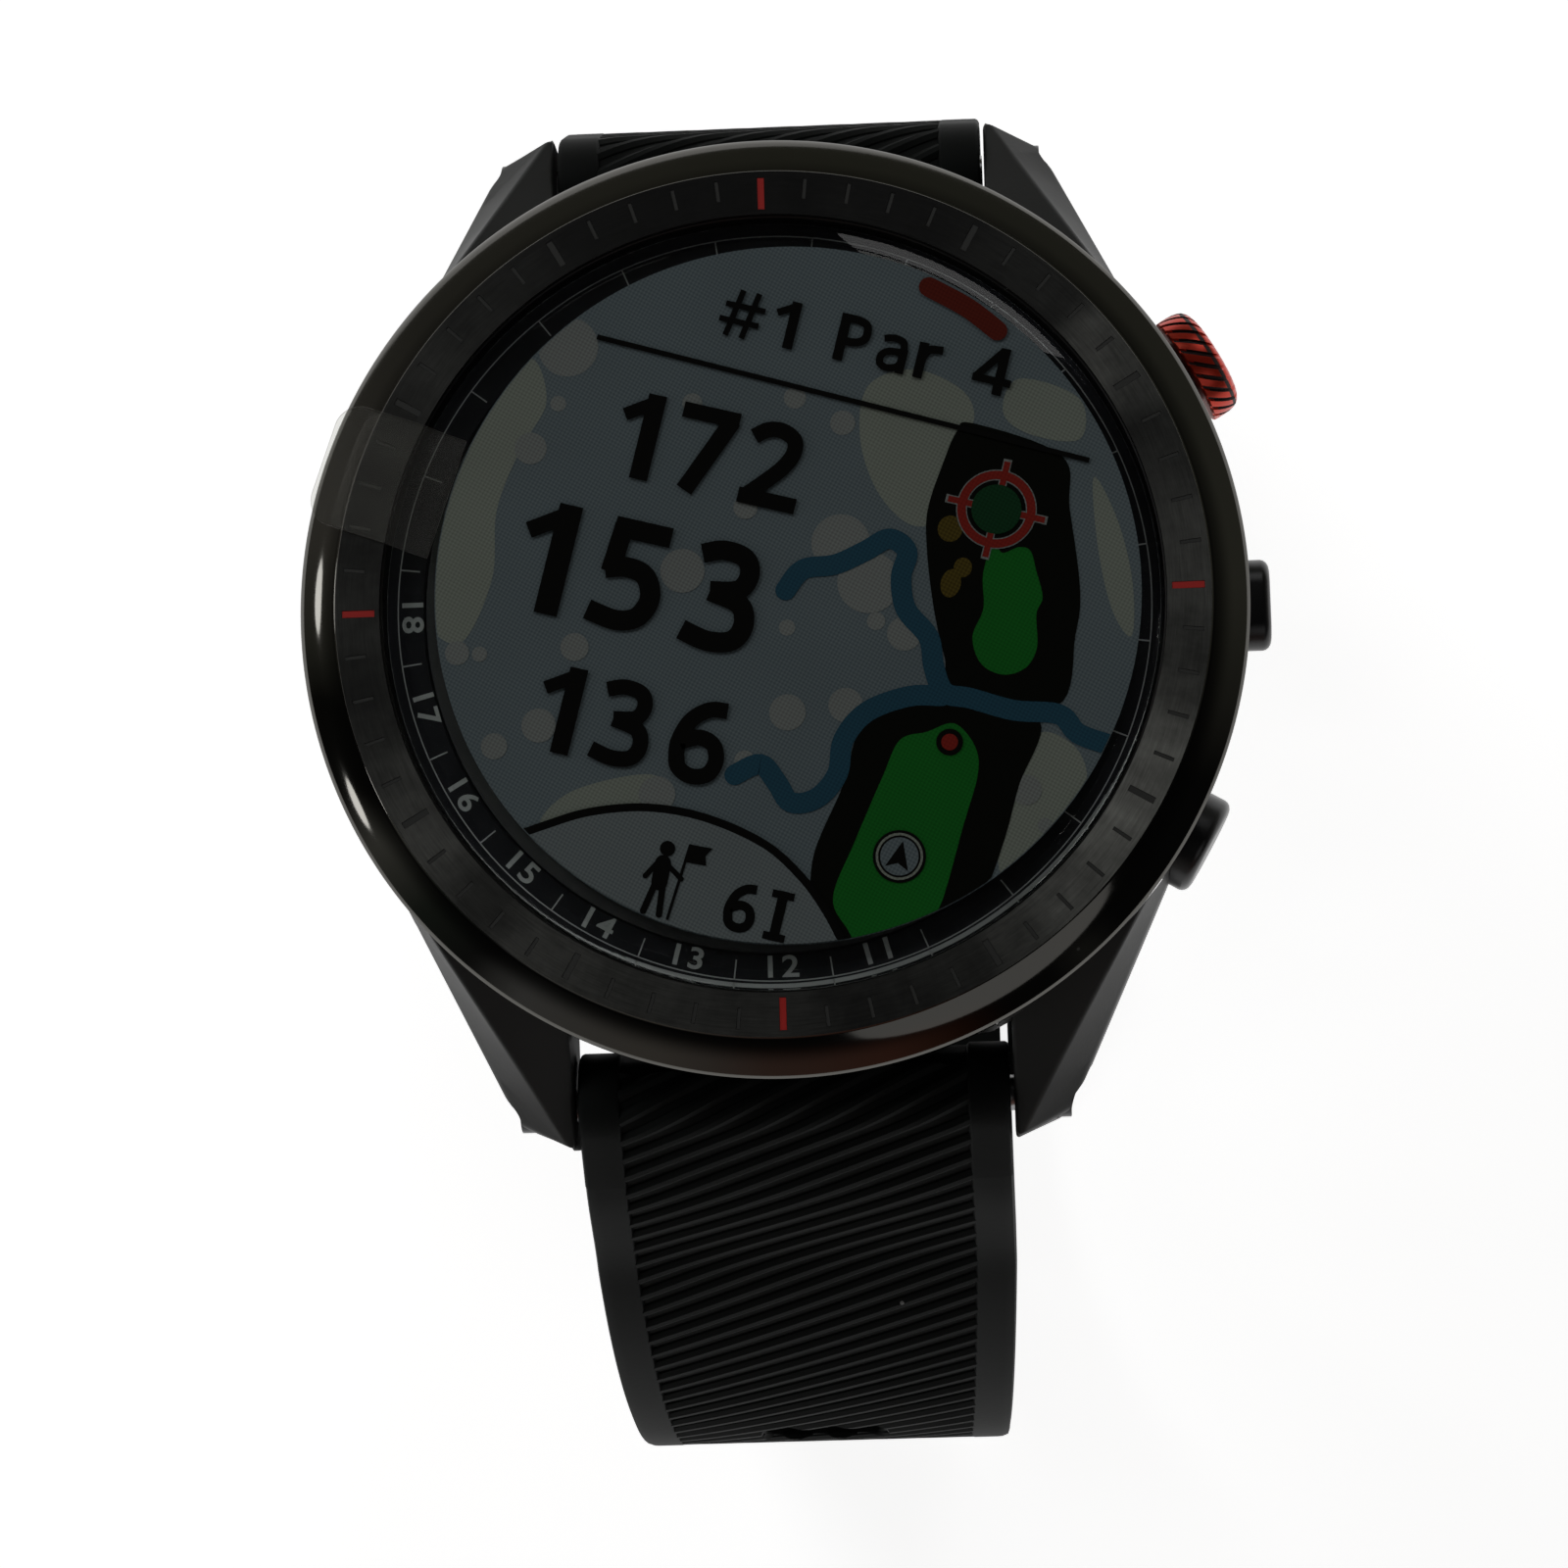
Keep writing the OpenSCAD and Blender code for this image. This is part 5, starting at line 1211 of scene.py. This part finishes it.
def makeCase():
    c = case
    r = c["outerR"]
    profile = [(c["ledgeR"], -2.6), (r - 0.12, -2.6), (r, -2.72), (r, -8.1), (r - 0.06, -8.45),
               (r - 0.5, -9.95), (r - 0.62, -10.2), (r - 1.52, -11.85), (r - 1.7, -12), (c["coverR"], -12),
               (c["coverR"], -c["coverDrop"]),
               (c["cavityR"], -c["coverDrop"]), (c["cavityR"], -3.2), (c["ledgeR"], -3.2)]
    shell = lathe("shell", profile, (paint["casePolymer"],), steps=288, soft=28)
    half = c["lugGap"] / 2
    for side in (-1, 1):
        low, high = sorted((side * c["flatY"], side * 30))
        cut(shell, block("flat", (-half, low, dialTop - 15), (half, high, dialTop)))
    for turn in (c["buttonTurn"], 0, -c["buttonTurn"]):
        cut(shell, rod("hole", axisPoint(turn, 18), axisPoint(turn, 21), 0.85))
        cut(shell, rod("pocket", axisPoint(turn, 20.9), axisPoint(turn, 25), 1.75))
    cut(shell, ovalRod("wide", 0, 22.3, 25, 4.8, 3.0))
    cut(shell, rod("wide", axisPoint(-c["buttonTurn"], 22.3), axisPoint(-c["buttonTurn"], 25), 2.6))
    for xSide in (-1, 1):
        for ySide in (-1, 1):
            ear = (c["earX"] * xSide, c["earY"] * ySide)
            cut(shell, rod("ear", (*ear, dialTop - 16), (*ear, dialTop - c["coverDrop"]), c["earR"]))
    shell.data.materials.clear()
    shell.data.materials.append(paint["casePolymer"])
    lugs = [makeLug(x, y) for x in (-1, 1) for y in (-1, 1)]
    for lug in lugs:
        lug.data.materials.clear()
        lug.data.materials.append(paint["casePolymer"])
    body = join("caseShell", [shell] + lugs, 26)
    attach(body, "case")
    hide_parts("case_body")


makeCase()
print("case done")


# Buttons

buttons = {"redR": 2.82, "redIn": 24.05, "biteIn": 24.12, "biteOut": 25.5, "grooves": 24, "grooveDepth": 0.15,
           "grooveShare": 0.24,
           "slant": 0.3, "neckR": 1.65, "stemR": 0.8, "stemIn": 18.3, "capIn": 22.9, "midOut": 24.7,
           "lowOut": 24.5, "midWide": 4.6, "midHigh": 2.8, "lowWide": 5.02, "lowHigh": 5.0}


def makeRedCap():
    b = buttons
    turn, perGroove = case["buttonTurn"], 10
    count = b["grooves"] * perGroove
    stations = [(24.05, -0.3, 0), (24.07, -0.1, 0), (24.15, 0.0, 0.5), (24.4, 0.02, 1), (24.7, 0.02, 1),
                (25.0, 0, 1), (25.25, -0.05, 1), (25.45, -0.14, 1), (25.6, -0.28, 0.9), (25.7, -0.45, 0.6),
                (25.77, -0.65, 0.3), (25.8, -0.9, 0), (25.8, -1.2, 0), (25.76, -1.5, 0)]
    rings = []
    for r, grow, bite in stations:
        shift = b["slant"] * (r - b["redIn"])
        radii = []
        for k in range(count):
            phase = (k / perGroove) % 1.0
            depth = b["grooveDepth"] * bite * (1 if phase < b["grooveShare"] else 0)
            radii.append(b["redR"] + grow - depth)
        rings.append([rotateRing(turn, r, radii[k], 2 * math.pi * k / count + shift) for k in range(count)])
    head = loft("head", rings, (paint["capRed"],), soft=50)
    picked = [0] * len(head.data.polygons)
    # painted shade: the groove bottoms take the dark red
    head.data.materials.append(paint["capGrooveShade"])
    axis = Vector(axisPoint(turn, 1)) - Vector(axisPoint(turn, 0))
    centre = Vector(axisPoint(turn, 0)) * mm
    for i, poly in enumerate(head.data.polygons):
        offset = poly.center - centre
        out = (offset - axis * offset.dot(axis)).length / mm
        reach = offset.dot(axis) / mm
        if out < b["redR"] - b["grooveDepth"] * 0.35 and b["biteIn"] < reach < b["biteOut"]:
            picked[i] = 1
    head.data.polygons.foreach_set("material_index", picked)
    parts = [head, rod("neck", axisPoint(turn, 22.05), axisPoint(turn, 24.06), b["neckR"],
                       (paint["capBlack"],)),
             rod("stem", axisPoint(turn, b["stemIn"]), axisPoint(turn, 22.06), b["stemR"],
                 (paint["endMetal"],))]
    cap = join("upperButtonCap", parts, 38)
    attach(cap, "upper_button")
    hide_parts("upper_button_cap")


def rotateRing(turn, r, radius, a):
    return axisPoint(turn, r, radius * math.sin(a), radius * math.cos(a))


def makeBlackCap(name, node, body, turn, wide, high, out):    # domed, round or oval
    b = buttons
    parts = []
    rings = []
    steps = 20
    for r, inset in ((b["capIn"], 0.12), (b["capIn"] + 0.12, 0.0), (out - 0.45, 0.0), (out - 0.3, 0.04),
                     (out - 0.16, 0.14), (out - 0.06, 0.3), (out - 0.015, 0.5), (out, 0.8), (out, 1.1)):
        half, reach = high / 2 - inset, (wide - high) / 2
        ends = [-math.pi / 2 + math.pi * k / steps for k in range(steps + 1)]
        outline = [(reach + half * math.cos(a), half * math.sin(a)) for a in ends]
        outline += [(-reach - half * math.cos(a), -half * math.sin(a)) for a in ends]
        rings.append([axisPoint(turn, r, lift, side) for side, lift in outline])
    parts.append(loft("cap", rings, (paint["capBlack"],), soft=40))
    parts.append(rod("stem", axisPoint(turn, b["stemIn"]), axisPoint(turn, b["capIn"] + 0.02), b["stemR"],
                     (paint["endMetal"],)))
    cap = join(name, parts, 40)
    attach(cap, body)
    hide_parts(node)


makeRedCap()
makeBlackCap("middleButtonCap", "middle_button_cap", "middle_button", 0, buttons["midWide"],
             buttons["midHigh"], buttons["midOut"])
makeBlackCap("lowerButtonCap", "lower_button_cap", "lower_button", -case["buttonTurn"], buttons["lowWide"],
             buttons["lowHigh"], buttons["lowOut"])
print("buttons done")


# Strap halves: a skin along the route, slots cut through it, and slanting ribs in its outer face

strap = {"thickness": 2.6, "wide": 21.7, "narrow": 20.0, "wideAbove": barZ - 8, "narrowBelow": barZ - 25,
         "hookR": 2.3, "start": 3.3, "border": 2.05, "fieldDrop": 0.3, "edge": 0.4, "trayLength": 10.6,
         "trayWidth": 13.0, "ribPitch": 1.24, "ribWidth": 0.98, "ribSlant": 26,
         "sheathR": 2.62, "sheathIn": 2.1, "flush": 2.62,
         "sheathTurn": 150, "wrapTurn": 84, "slotPitch": 6.3, "slotWidth": 6.5, "slotLength": 2.6,
         "slotFirst": 28.43, "slots": 13, "tailLength": 120.0, "straight": 11.0}
lowerHead, upperHead = 180 + 47, -72
lowerRoute = [(strap["straight"], 0.0), (15.4374, 28.0), (36.5948, 105.0), (33.0471, 0.0), (39.9552, 120.0)]
upperRoute = [(strap["straight"], 0.0), (17.0202, -17.0), (26.0112, -91.0), (60.0, 0.0)]


def walk(route, start, distance):    # point and heading after a distance along a route of straights and arcs
    y, z, heading = start
    for i, (length, turn) in enumerate(route):
        d = min(distance, length) if i < len(route) - 1 else distance
        h = math.radians(heading)
        if turn:
            bend = math.radians(turn) * d / length
            r = length / math.radians(turn)
            y, z = y + r * (math.sin(h + bend) - math.sin(h)), z + r * (math.cos(h) - math.cos(h + bend))
            heading += math.degrees(bend)
        else:
            y, z = y + d * math.cos(h), z + d * math.sin(h)
        distance -= d
        if distance <= 1e-9:
            break
    return y, z, heading


def halfOut(s):
    flat = strap["thickness"] / 2
    return flat + (strap["flush"] - flat) * (1 - eased((s - strap["start"]) / 8))


def halfIn(s):
    flat = strap["thickness"] / 2
    return flat + (strap["hookR"] + 0.05 - flat) * (1 - eased((s - strap["trayLength"]) / 5))


def halfWide(z):
    t = (strap["wideAbove"] - z) / (strap["wideAbove"] - strap["narrowBelow"])
    return lerp(strap["wide"], strap["narrow"], min(max(t, 0), 1)) / 2


def strapSection(s, spot, side, length, tailRound):    # a ring of points across the strap
    y, z, heading = spot
    h = math.radians(heading)
    out = Vector((side * math.sin(h), -side * math.cos(h)))
    w = halfWide(z)
    left = length - s
    if tailRound and left < tailRound:
        w -= tailRound * (1 - math.sqrt(max(1 - (1 - left / tailRound) ** 2, 0.0))) * 0.96
    o, n, e = halfOut(s), halfIn(s), strap["edge"]
    rise = eased((length - 3.0 - s) / 1.2)
    drop = strap["fieldDrop"] * rise
    field = max(w - strap["border"], 0.3)
    profile = [(-w + e, -n), (-w + 0.12, -n + 0.12), (-w, -n + e), (-w, o - e), (-w + 0.1, o - 0.13),
               (-w + e, o - 0.02),
               (-w + e + 0.25, o), (-field - 0.1, o), (-field, o - 0.05), (-field + 0.1, o - drop)]
    ring = profile + [(-x, v) for x, v in reversed(profile)]
    return [(x, y + out.x * v, z + out.y * v) for x, v in ring]


def slotCutter(spot, side, reach):    # a stadium through the strap that flares at the outer face
    y, z, heading = spot
    h = math.radians(heading)
    out = Vector((side * math.sin(h), -side * math.cos(h)))
    run = Vector((math.cos(h), math.sin(h)))
    rings = []
    for v, flare in ((-3.2, 0.0), (reach - 0.42, 0.0), (reach + 0.06, 0.3), (reach + 1.4, 0.3)):
        half, span = strap["slotLength"] / 2 + flare * 0.6, strap["slotWidth"] / 2 + flare
        corner = 0.9
        ring = []
        for cx, cy, first in ((1, 1, 0), (-1, 1, 90), (-1, -1, 180), (1, -1, 270)):
            for k in range(5):
                a = math.radians(first + 22.5 * k)
                ring.append((cx * (span - corner) + corner * math.cos(a), cy * (half - corner)
                             + corner * math.sin(a)))
        rings.append([(x, y + run.x * q + out.x * v, z + run.y * q + out.y * v) for x, q in ring])
    return loft("slot", rings, ())


def trayCutter(spot, side):
    y, z, heading = spot
    h = math.radians(heading)
    out = Vector((side * math.sin(h), -side * math.cos(h)))
    run = Vector((math.cos(h), math.sin(h)))
    half, far = strap["trayWidth"] / 2 + 0.1, strap["trayLength"] + 0.1
    rings = []
    for x in (-half, half):
        rings.append([(x, y + run.x * q + out.x * v, z + run.y * q + out.y * v)
                      for q, v in ((0, -0.1), (far, -0.1), (far, -6), (0, -6))])
    return loft("tray", rings, ())


def routeLine(name, route, start, side, length):    # the route on the floor of the ribbed field
    points, halves = [], []
    head = math.radians(start[2])
    first = math.atan2(-side * math.cos(head), side * math.sin(head))    # where the strap leaves the barrel
    r = strap["sheathR"] - strap["fieldDrop"]
    turns = int(math.radians(strap["wrapTurn"]) / 0.1)
    for k in range(turns, 0, -1):
        a = first - side * math.radians(strap["wrapTurn"]) * k / turns
        points.append((0, (start[0] + r * math.cos(a)) * mm, (start[1] + r * math.sin(a)) * mm))
        halves.append((strap["wide"] / 2 - strap["border"] + 0.04) * mm)
    s, step = 0.0, 0.5
    while s <= length:
        y, z, heading = walk(route, start, s)
        h = math.radians(heading)
        v = halfOut(s) - strap["fieldDrop"]
        if s < strap["start"]:
            v = lerp(strap["sheathR"], strap["flush"], s / strap["start"]) - strap["fieldDrop"]
        points.append((0, (y + side * math.sin(h) * v) * mm, (z - side * math.cos(h) * v) * mm))
        halves.append((halfWide(z) - strap["border"] + 0.04) * mm)
        s += step
    mesh = bpy.data.meshes.new(name)
    mesh.from_pydata(points, [(i, i + 1) for i in range(len(points) - 1)], [])
    mesh.attributes.new("halfWidth", "FLOAT", "POINT").data.foreach_set("value", halves)
    return addObject(name, mesh)


def makeSheath(name, start, side):    # the rubber that carries the ribbed field up over the barrel at the lug
    head = math.radians(start[2])
    first = math.atan2(-side * math.cos(head), side * math.sin(head))
    centre, run = Vector(start[:2]), Vector((math.cos(head), math.sin(head)))
    around, past, steps = strap["sheathTurn"], strap["start"] + 0.05, 26
    stations = []
    for k in range(steps + 1):
        a = first - side * math.radians(around) * (1 - k / steps)
        thick = math.sqrt(min(k / 3, 1.0)) * (strap["sheathR"] - strap["sheathIn"] - 0.05) + 0.05
        stations.append((centre, Vector((math.cos(a), math.sin(a))), strap["sheathIn"] + thick, k / steps))
    out = stations[-1][1]
    for k in range(1, 7):
        stations.append((centre + run * past * k / 6, out, lerp(strap["sheathR"], strap["flush"], k / 6),
                         1.0))
    rings = []
    for place, out, o, share in stations:
        w, n, e = strap["wide"] / 2, strap["sheathIn"], 0.22
        o = max(o, n + 0.06)
        e = min(e, (o - n) * 0.45)
        drop = min(strap["fieldDrop"] * eased(share * 4), (o - n) * 0.8)
        field = w - strap["border"]
        profile = [(-w, n), (-w, o - e), (-w + e * 0.4, o - e * 0.3), (-w + e, o), (-field - 0.1, o),
                   (-field, o - 0.03), (-field + 0.1, o - drop)]
        ring = profile + [(-x, v) for x, v in reversed(profile)]
        rings.append([(x, place.x + out.x * v, place.y + out.y * v) for x, v in ring])
    return loft(name, rings, (paint["strapRubber"],), soft=30)


def wrapTrim(start, side):    # a wedge that takes away the bunched ends of the first ribs
    head = math.radians(start[2])
    first = math.atan2(-side * math.cos(head), side * math.sin(head))
    edge = first - side * math.radians(strap["wrapTurn"] - 3)
    ring = [(start[0], start[1])]
    for k in range(5):
        a = edge - side * math.radians(24 * k)
        ring.append((start[0] + 4 * math.cos(a), start[1] + 4 * math.sin(a)))
    return loft("wedge", [[(x, y, z) for y, z in ring] for x in (-12, 12)], ())


def makeStrapHalf(name, node, body, route, start, side, length, tailRound, slotPlaces, ribEnd):
    marks = [strap["start"] + 0.75 * i for i in range(int((length - strap["start"]) / 0.75))]
    marks += [length - tailRound * (1 - math.sin(math.radians(q)))
              for q in range(10, 91, 10)] if tailRound else [length]
    marks = sorted(set(round(s, 4) for s in marks))
    rings = [strapSection(s, walk(route, start, s), side, length, tailRound) for s in marks]
    skin = loft(name, rings, (paint["strapRubber"],), soft=30)
    line = routeLine(name + "Line", route, start, side, length - 2)
    slant = math.tan(math.radians(strap["ribSlant"])) * 8.4
    wrapped = (strap["sheathR"] - strap["fieldDrop"]) * math.radians(strap["wrapTurn"])
    count = int((ribEnd + wrapped + slant) / strap["ribPitch"])
    ribs = grow(name + "Ribs", ribsTree, {
        "Line": line, "Count": count, "First": -slant * mm, "Pitch": strap["ribPitch"] * mm,
        "Slant": -slant * mm * (1 if side > 0 else -1), "Rib Width": strap["ribWidth"] * mm,
        "Rib Height": 2 * (strap["fieldDrop"] - 0.02) * mm, "Side": 1.0 * side,
        "Material": paint["strapRubber"]})
    bpy.data.objects.remove(line)
    cut(ribs, wrapTrim(start, side))
    cut(skin, trayCutter(start, side))
    cutters = [slotCutter(walk(route, start, s), side, strap["thickness"] / 2) for s in slotPlaces]
    if cutters:
        copies = [slotCutter(walk(route, start, s), side, strap["thickness"] / 2) for s in slotPlaces]
        cut(skin, join("slots", cutters))
        cut(ribs, join("slotsToo", copies))
    for obj in (skin, ribs):
        obj.data.materials.clear()
        obj.data.materials.append(paint["strapRubber"])
        for poly in obj.data.polygons:
            poly.material_index = 0
        shadeSoft(obj.data, 30)
        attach(obj, body)
    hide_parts(node)
    return skin, ribs


lowerStart, upperStart = (-barY, barZ, lowerHead), (barY, barZ, upperHead)
slotPlaces = [strap["slotFirst"] + strap["slotPitch"] * i for i in range(strap["slots"])]
makeStrapHalf("lowerStrap", "lower_strap", "strap", lowerRoute, lowerStart, 1,
              strap["tailLength"], 5.0, slotPlaces, 106.0)
print("lower strap done")


def makeUpperStrap():
    length = 76.98
    skin, ribs = makeStrapHalf("upperStrap", "upper_strap", "strap", upperRoute, upperStart,
                               -1, length, 0.0, [], 62.0)
    notch = 3.1
    cutter = block("notch", (-notch, buckleY - 3, bandZ - 3), (notch, buckleY + 2.2, bandZ + 3))
    cut(skin, rod("pinHole", (-12, buckleY, bandZ), (12, buckleY, bandZ), 0.77))
    cut(skin, cutter)
    shadeSoft(skin.data, 30)


makeUpperStrap()
print("upper strap done")


# Strap ends, latches, buckle and keepers

hardware = [
    ("lowerStrapEnd", "lower_strap_end", "strap", "strapRubber", 0.14, "end_metal"),
    ("upperStrapEnd", "upper_strap_end", "strap", "strapRubber", 0.14, "end_metal"),
    ("lowerLatch", "lower_latch", "lower_latch", "buckleMetal", 0.08, "end_metal"),
    ("upperLatch", "upper_latch", "upper_latch", "buckleMetal", 0.08, "end_metal"),
    ("buckleFrame", "buckle_frame", "buckle_frame", "buckleMetal", 0.22, "end_metal"),
    ("buckleTang", "buckle_tang", "buckle_tang", "buckleMetal", 0.1, "end_metal"),
    ("fixedKeeper", "fixed_keeper", "strap", "keeperRubber", 0.32, "strap_rubber"),
    ("freeKeeper", "free_keeper", "free_keeper", "keeperRubber", 0.32, "strap_rubber"),
    ("rearCover", "rear_cover", "case", "coverPlastic", 0.07, "cover_plastic"),
    ("coverScrews", "rear_cover_screws", "case", "screwSteel", 0.05, "screw_steel"),
    ("lugScrews", "lug_screws", "case", "darkScrew", 0.06, "screw_steel"),
    ("chargePort", "charge_port", "case", "coverPlastic", 0.06, "cover_plastic"),
]
for name, node, body, mat, edge, slotName in hardware:
    piece = softened(node, name, paint[mat], edge, 3 if edge > 0.1 else 2)
    if node.endswith("strap_end"):
        begin, side = (lowerStart, 1) if node.startswith("lower") else (upperStart, -1)
        piece = join(name, [piece, makeSheath(name + "Sheath", begin, side)], 30)
    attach(piece, body)
    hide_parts(node)
print("hardware done")


# Sensor window on the back

sensor = {"r": 8.6, "seat": 12.6, "foot": 13.9, "crest": 14.8}


def makeSensor():
    s = sensor
    rise = s["crest"] - s["foot"]
    domeR = (s["r"] ** 2 + rise ** 2) / (2 * rise)

    def dome(r):
        return -(s["crest"] - domeR + math.sqrt(domeR ** 2 - r ** 2))

    radii = [0.001, 1.2, 2.4, 2.5, 2.56, 2.62, 3.4, 4.4, 5.6, 5.66, 5.72, 6.6, 7.4, 8.0, 8.4]
    profile = [(r, dome(r) + (0.05 if r in (2.56, 5.66) else 0)) for r in radii]
    profile += [(s["r"], dome(s["r"]) + 0.1), (s["r"], -s["seat"]), (0.001, -s["seat"])]
    bands = [0] * len(profile)
    for j, r in enumerate(radii[:-1]):
        bands[j] = 1 if r < 2.4 or 2.62 <= r < 5.6 else 0
    window = lathe("sensorWindow", profile, (paint["sensorGloss"], paint["sensorPane"]), bands, steps=144,
                   soft=20)
    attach(window, "case")
    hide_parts("sensor_window")


makeSensor()

# CAD nodes that stay, with their finishes
finishes = {
    "lens_gasket": "sealBlack", "display_panel": "innerPlastic", "display_frame": "innerPlastic",
    "display_flex": "flexAmber", "antenna_ring": "antennaBrass", "main_board": "boardGreen",
    "board_chips": "chipBlack", "button_switches": "screwSteel", "battery_cell": "cellFoil",
    "inner_chassis": "innerPlastic", "vibration_motor": "screwSteel", "rear_cover_seal": "sealBlack",
    "sensor_board": "boardGreen", "charge_contacts": "contactGold", "lower_lug_bar": "screwSteel",
    "upper_lug_bar": "screwSteel", "buckle_pin": "screwSteel"}
for end in ("upper", "middle", "lower"):
    finishes[end + "_button_seal"] = "sealBlack"
    finishes[end + "_button_clip"] = "screwSteel"
    finishes[end + "_button_spring"] = "screwSteel"
for end in ("lower", "upper"):
    finishes[end + "_latch_spring"] = "screwSteel"
for node, mat in finishes.items():
    slots = nodes[node].data.materials
    if not slots:
        slots.append(paint[mat])
    for k in range(len(slots)):
        slots[k] = paint[mat]


# Floor, lamps and camera

studio = {"cameraPlace": (0.01276, -0.04399, 0.31529), "cameraRight": (0.9983, -0.0271, -0.0522),
          "cameraUp": (0.0338, 0.9905, 0.1334), "cameraBack": (0.0481, -0.135, 0.9897),
          "floorSize": 3.0, "lensLength": 121.1, "glow": 0.86, "zenith": 0.008, "backdrop": 0.93}


def makeFloor():
    half = studio["floorSize"] / 2
    mesh = bpy.data.meshes.new("floorSheet")
    n = 24
    points = [(lerp(-half, half, i / n), lerp(-half, half, j / n), 0) for j in range(n + 1)
              for i in range(n + 1)]
    faces = [(j * (n + 1) + i, j * (n + 1) + i + 1, (j + 1) * (n + 1) + i + 1, (j + 1) * (n + 1) + i)
             for j in range(n) for i in range(n)]
    mesh.from_pydata(points, [], faces)
    mat = grainMaterial("paperFloor", (0.86, 0.86, 0.86), (0.92, 0.92, 0.92), roughness=0.8, scale=900.0,
                        bump=0.03, drift=8.0, specular=0.1)
    shader = mat.node_tree.nodes["Principled BSDF"]
    shader.inputs["Emission Color"].default_value = (1, 1, 1, 1)
    shader.inputs["Emission Strength"].default_value = studio["glow"]
    mesh.materials.append(mat)
    floor = addObject("floorSheet", mesh)


def makeLamp(name, place, size, power, colour=(1, 1, 1)):
    lamp = bpy.data.lights.new(name, "AREA")
    lamp.shape = "DISK"
    lamp.size = size
    lamp.energy = power
    lamp.color = colour
    obj = addObject(name, lamp)
    obj.location = place
    target = Vector((0, 0, 0.04))
    obj.rotation_euler = (target - Vector(place)).to_track_quat("-Z", "Y").to_euler()


def makeWorld():    # a dim studio: pale low walls, a warm one in front, and dark overhead
    world = bpy.data.worlds.new("studioAir")
    scene.world = world
    world.use_nodes = True
    tree = world.node_tree
    parts = put(tree, "ShaderNodeSeparateXYZ", {0: put(tree, "ShaderNodeTexCoord").outputs["Generated"]})
    turn = maths(tree, "ARCTAN2", parts.outputs[1], parts.outputs[0])
    walls = put(tree, "ShaderNodeValToRGB", {0: maths(tree, "MULTIPLY_ADD", turn, 1 / (2 * math.pi), 0.5)})
    setRamp(walls, [(-180, (0.015, 0.015, 0.013)), (-168, (0.02, 0.02, 0.018)), (-160, (0.22, 0.22, 0.2)),
                    (-150, (0.05, 0.06, 0.05)), (-140, (0.03, 0.03, 0.03)), (-132, (0.25, 0.25, 0.25)),
                    (-112, (0.24, 0.22, 0.2)), (-104, (0.2, 0.17, 0.155)), (-96, (0.18, 0.11, 0.09)),
                    (-78, (0.17, 0.07, 0.05)), (-66, (0.05, 0.02, 0.012)), (-60, (0.012, 0.01, 0.01)),
                    (-52, (0.012, 0.012, 0.012)), (-46, (0.05, 0.05, 0.046)), (-40, (0.012, 0.012, 0.012)),
                    (-16, (0.014, 0.014, 0.014)), (-6, (0.07, 0.07, 0.06)), (10, (0.14, 0.14, 0.115)),
                    (60, (0.105, 0.105, 0.085)), (90, (0.105, 0.105, 0.082)), (135, (0.12, 0.116, 0.1)),
                    (160, (0.2, 0.19, 0.17)), (172, (0.12, 0.12, 0.1)), (180, (0.015, 0.015, 0.013))])
    height = put(tree, "ShaderNodeMapRange", {0: parts.outputs[2], 1: 0.28, 2: 0.72, 3: 0.0, 4: 1.0},
                 interpolation_type="SMOOTHSTEP")
    dark = studio["zenith"]
    colour = mixColour(tree, height.outputs[0], walls.outputs[0], (dark, dark, dark, 1))
    rays = put(tree, "ShaderNodeLightPath")
    pale = studio["backdrop"]
    colour = mixColour(tree, rays.outputs["Is Camera Ray"], colour, (pale, pale, pale, 1))
    tree.links.new(colour, tree.nodes["Background"].inputs[0])
    tree.nodes["Background"].inputs[1].default_value = 1.0


def makeCamera():
    data = bpy.data.cameras.new("viewCamera")
    data.sensor_width = 36
    data.lens = studio["lensLength"]
    data.clip_start, data.clip_end = 0.01, 20
    cam = addObject("viewCamera", data)
    axes = [Vector(studio[key]) for key in ("cameraRight", "cameraUp", "cameraBack")]
    turn = Matrix(axes).transposed().to_quaternion()
    cam.rotation_mode = "QUATERNION"
    cam.rotation_quaternion = turn
    cam.location = studio["cameraPlace"]
    scene.camera = cam


makeFloor()
makeWorld()
makeLamp("keyLamp", (-0.4, 0.34, 0.56), 0.3, 0.62)
makeLamp("fillLamp", (0.3, -0.5, 0.62), 0.5, 0.3)
makeLamp("topLamp", (0.2, 0.5, 0.62), 0.4, 0.46)
makeLamp("leftGlint", (-0.56, 0.12, 0.22), 0.09, 0.11)
makeLamp("lowerGlint", (-0.55, -0.14, 0.2), 0.07, 0.07)
makeCamera()
print("studio done")
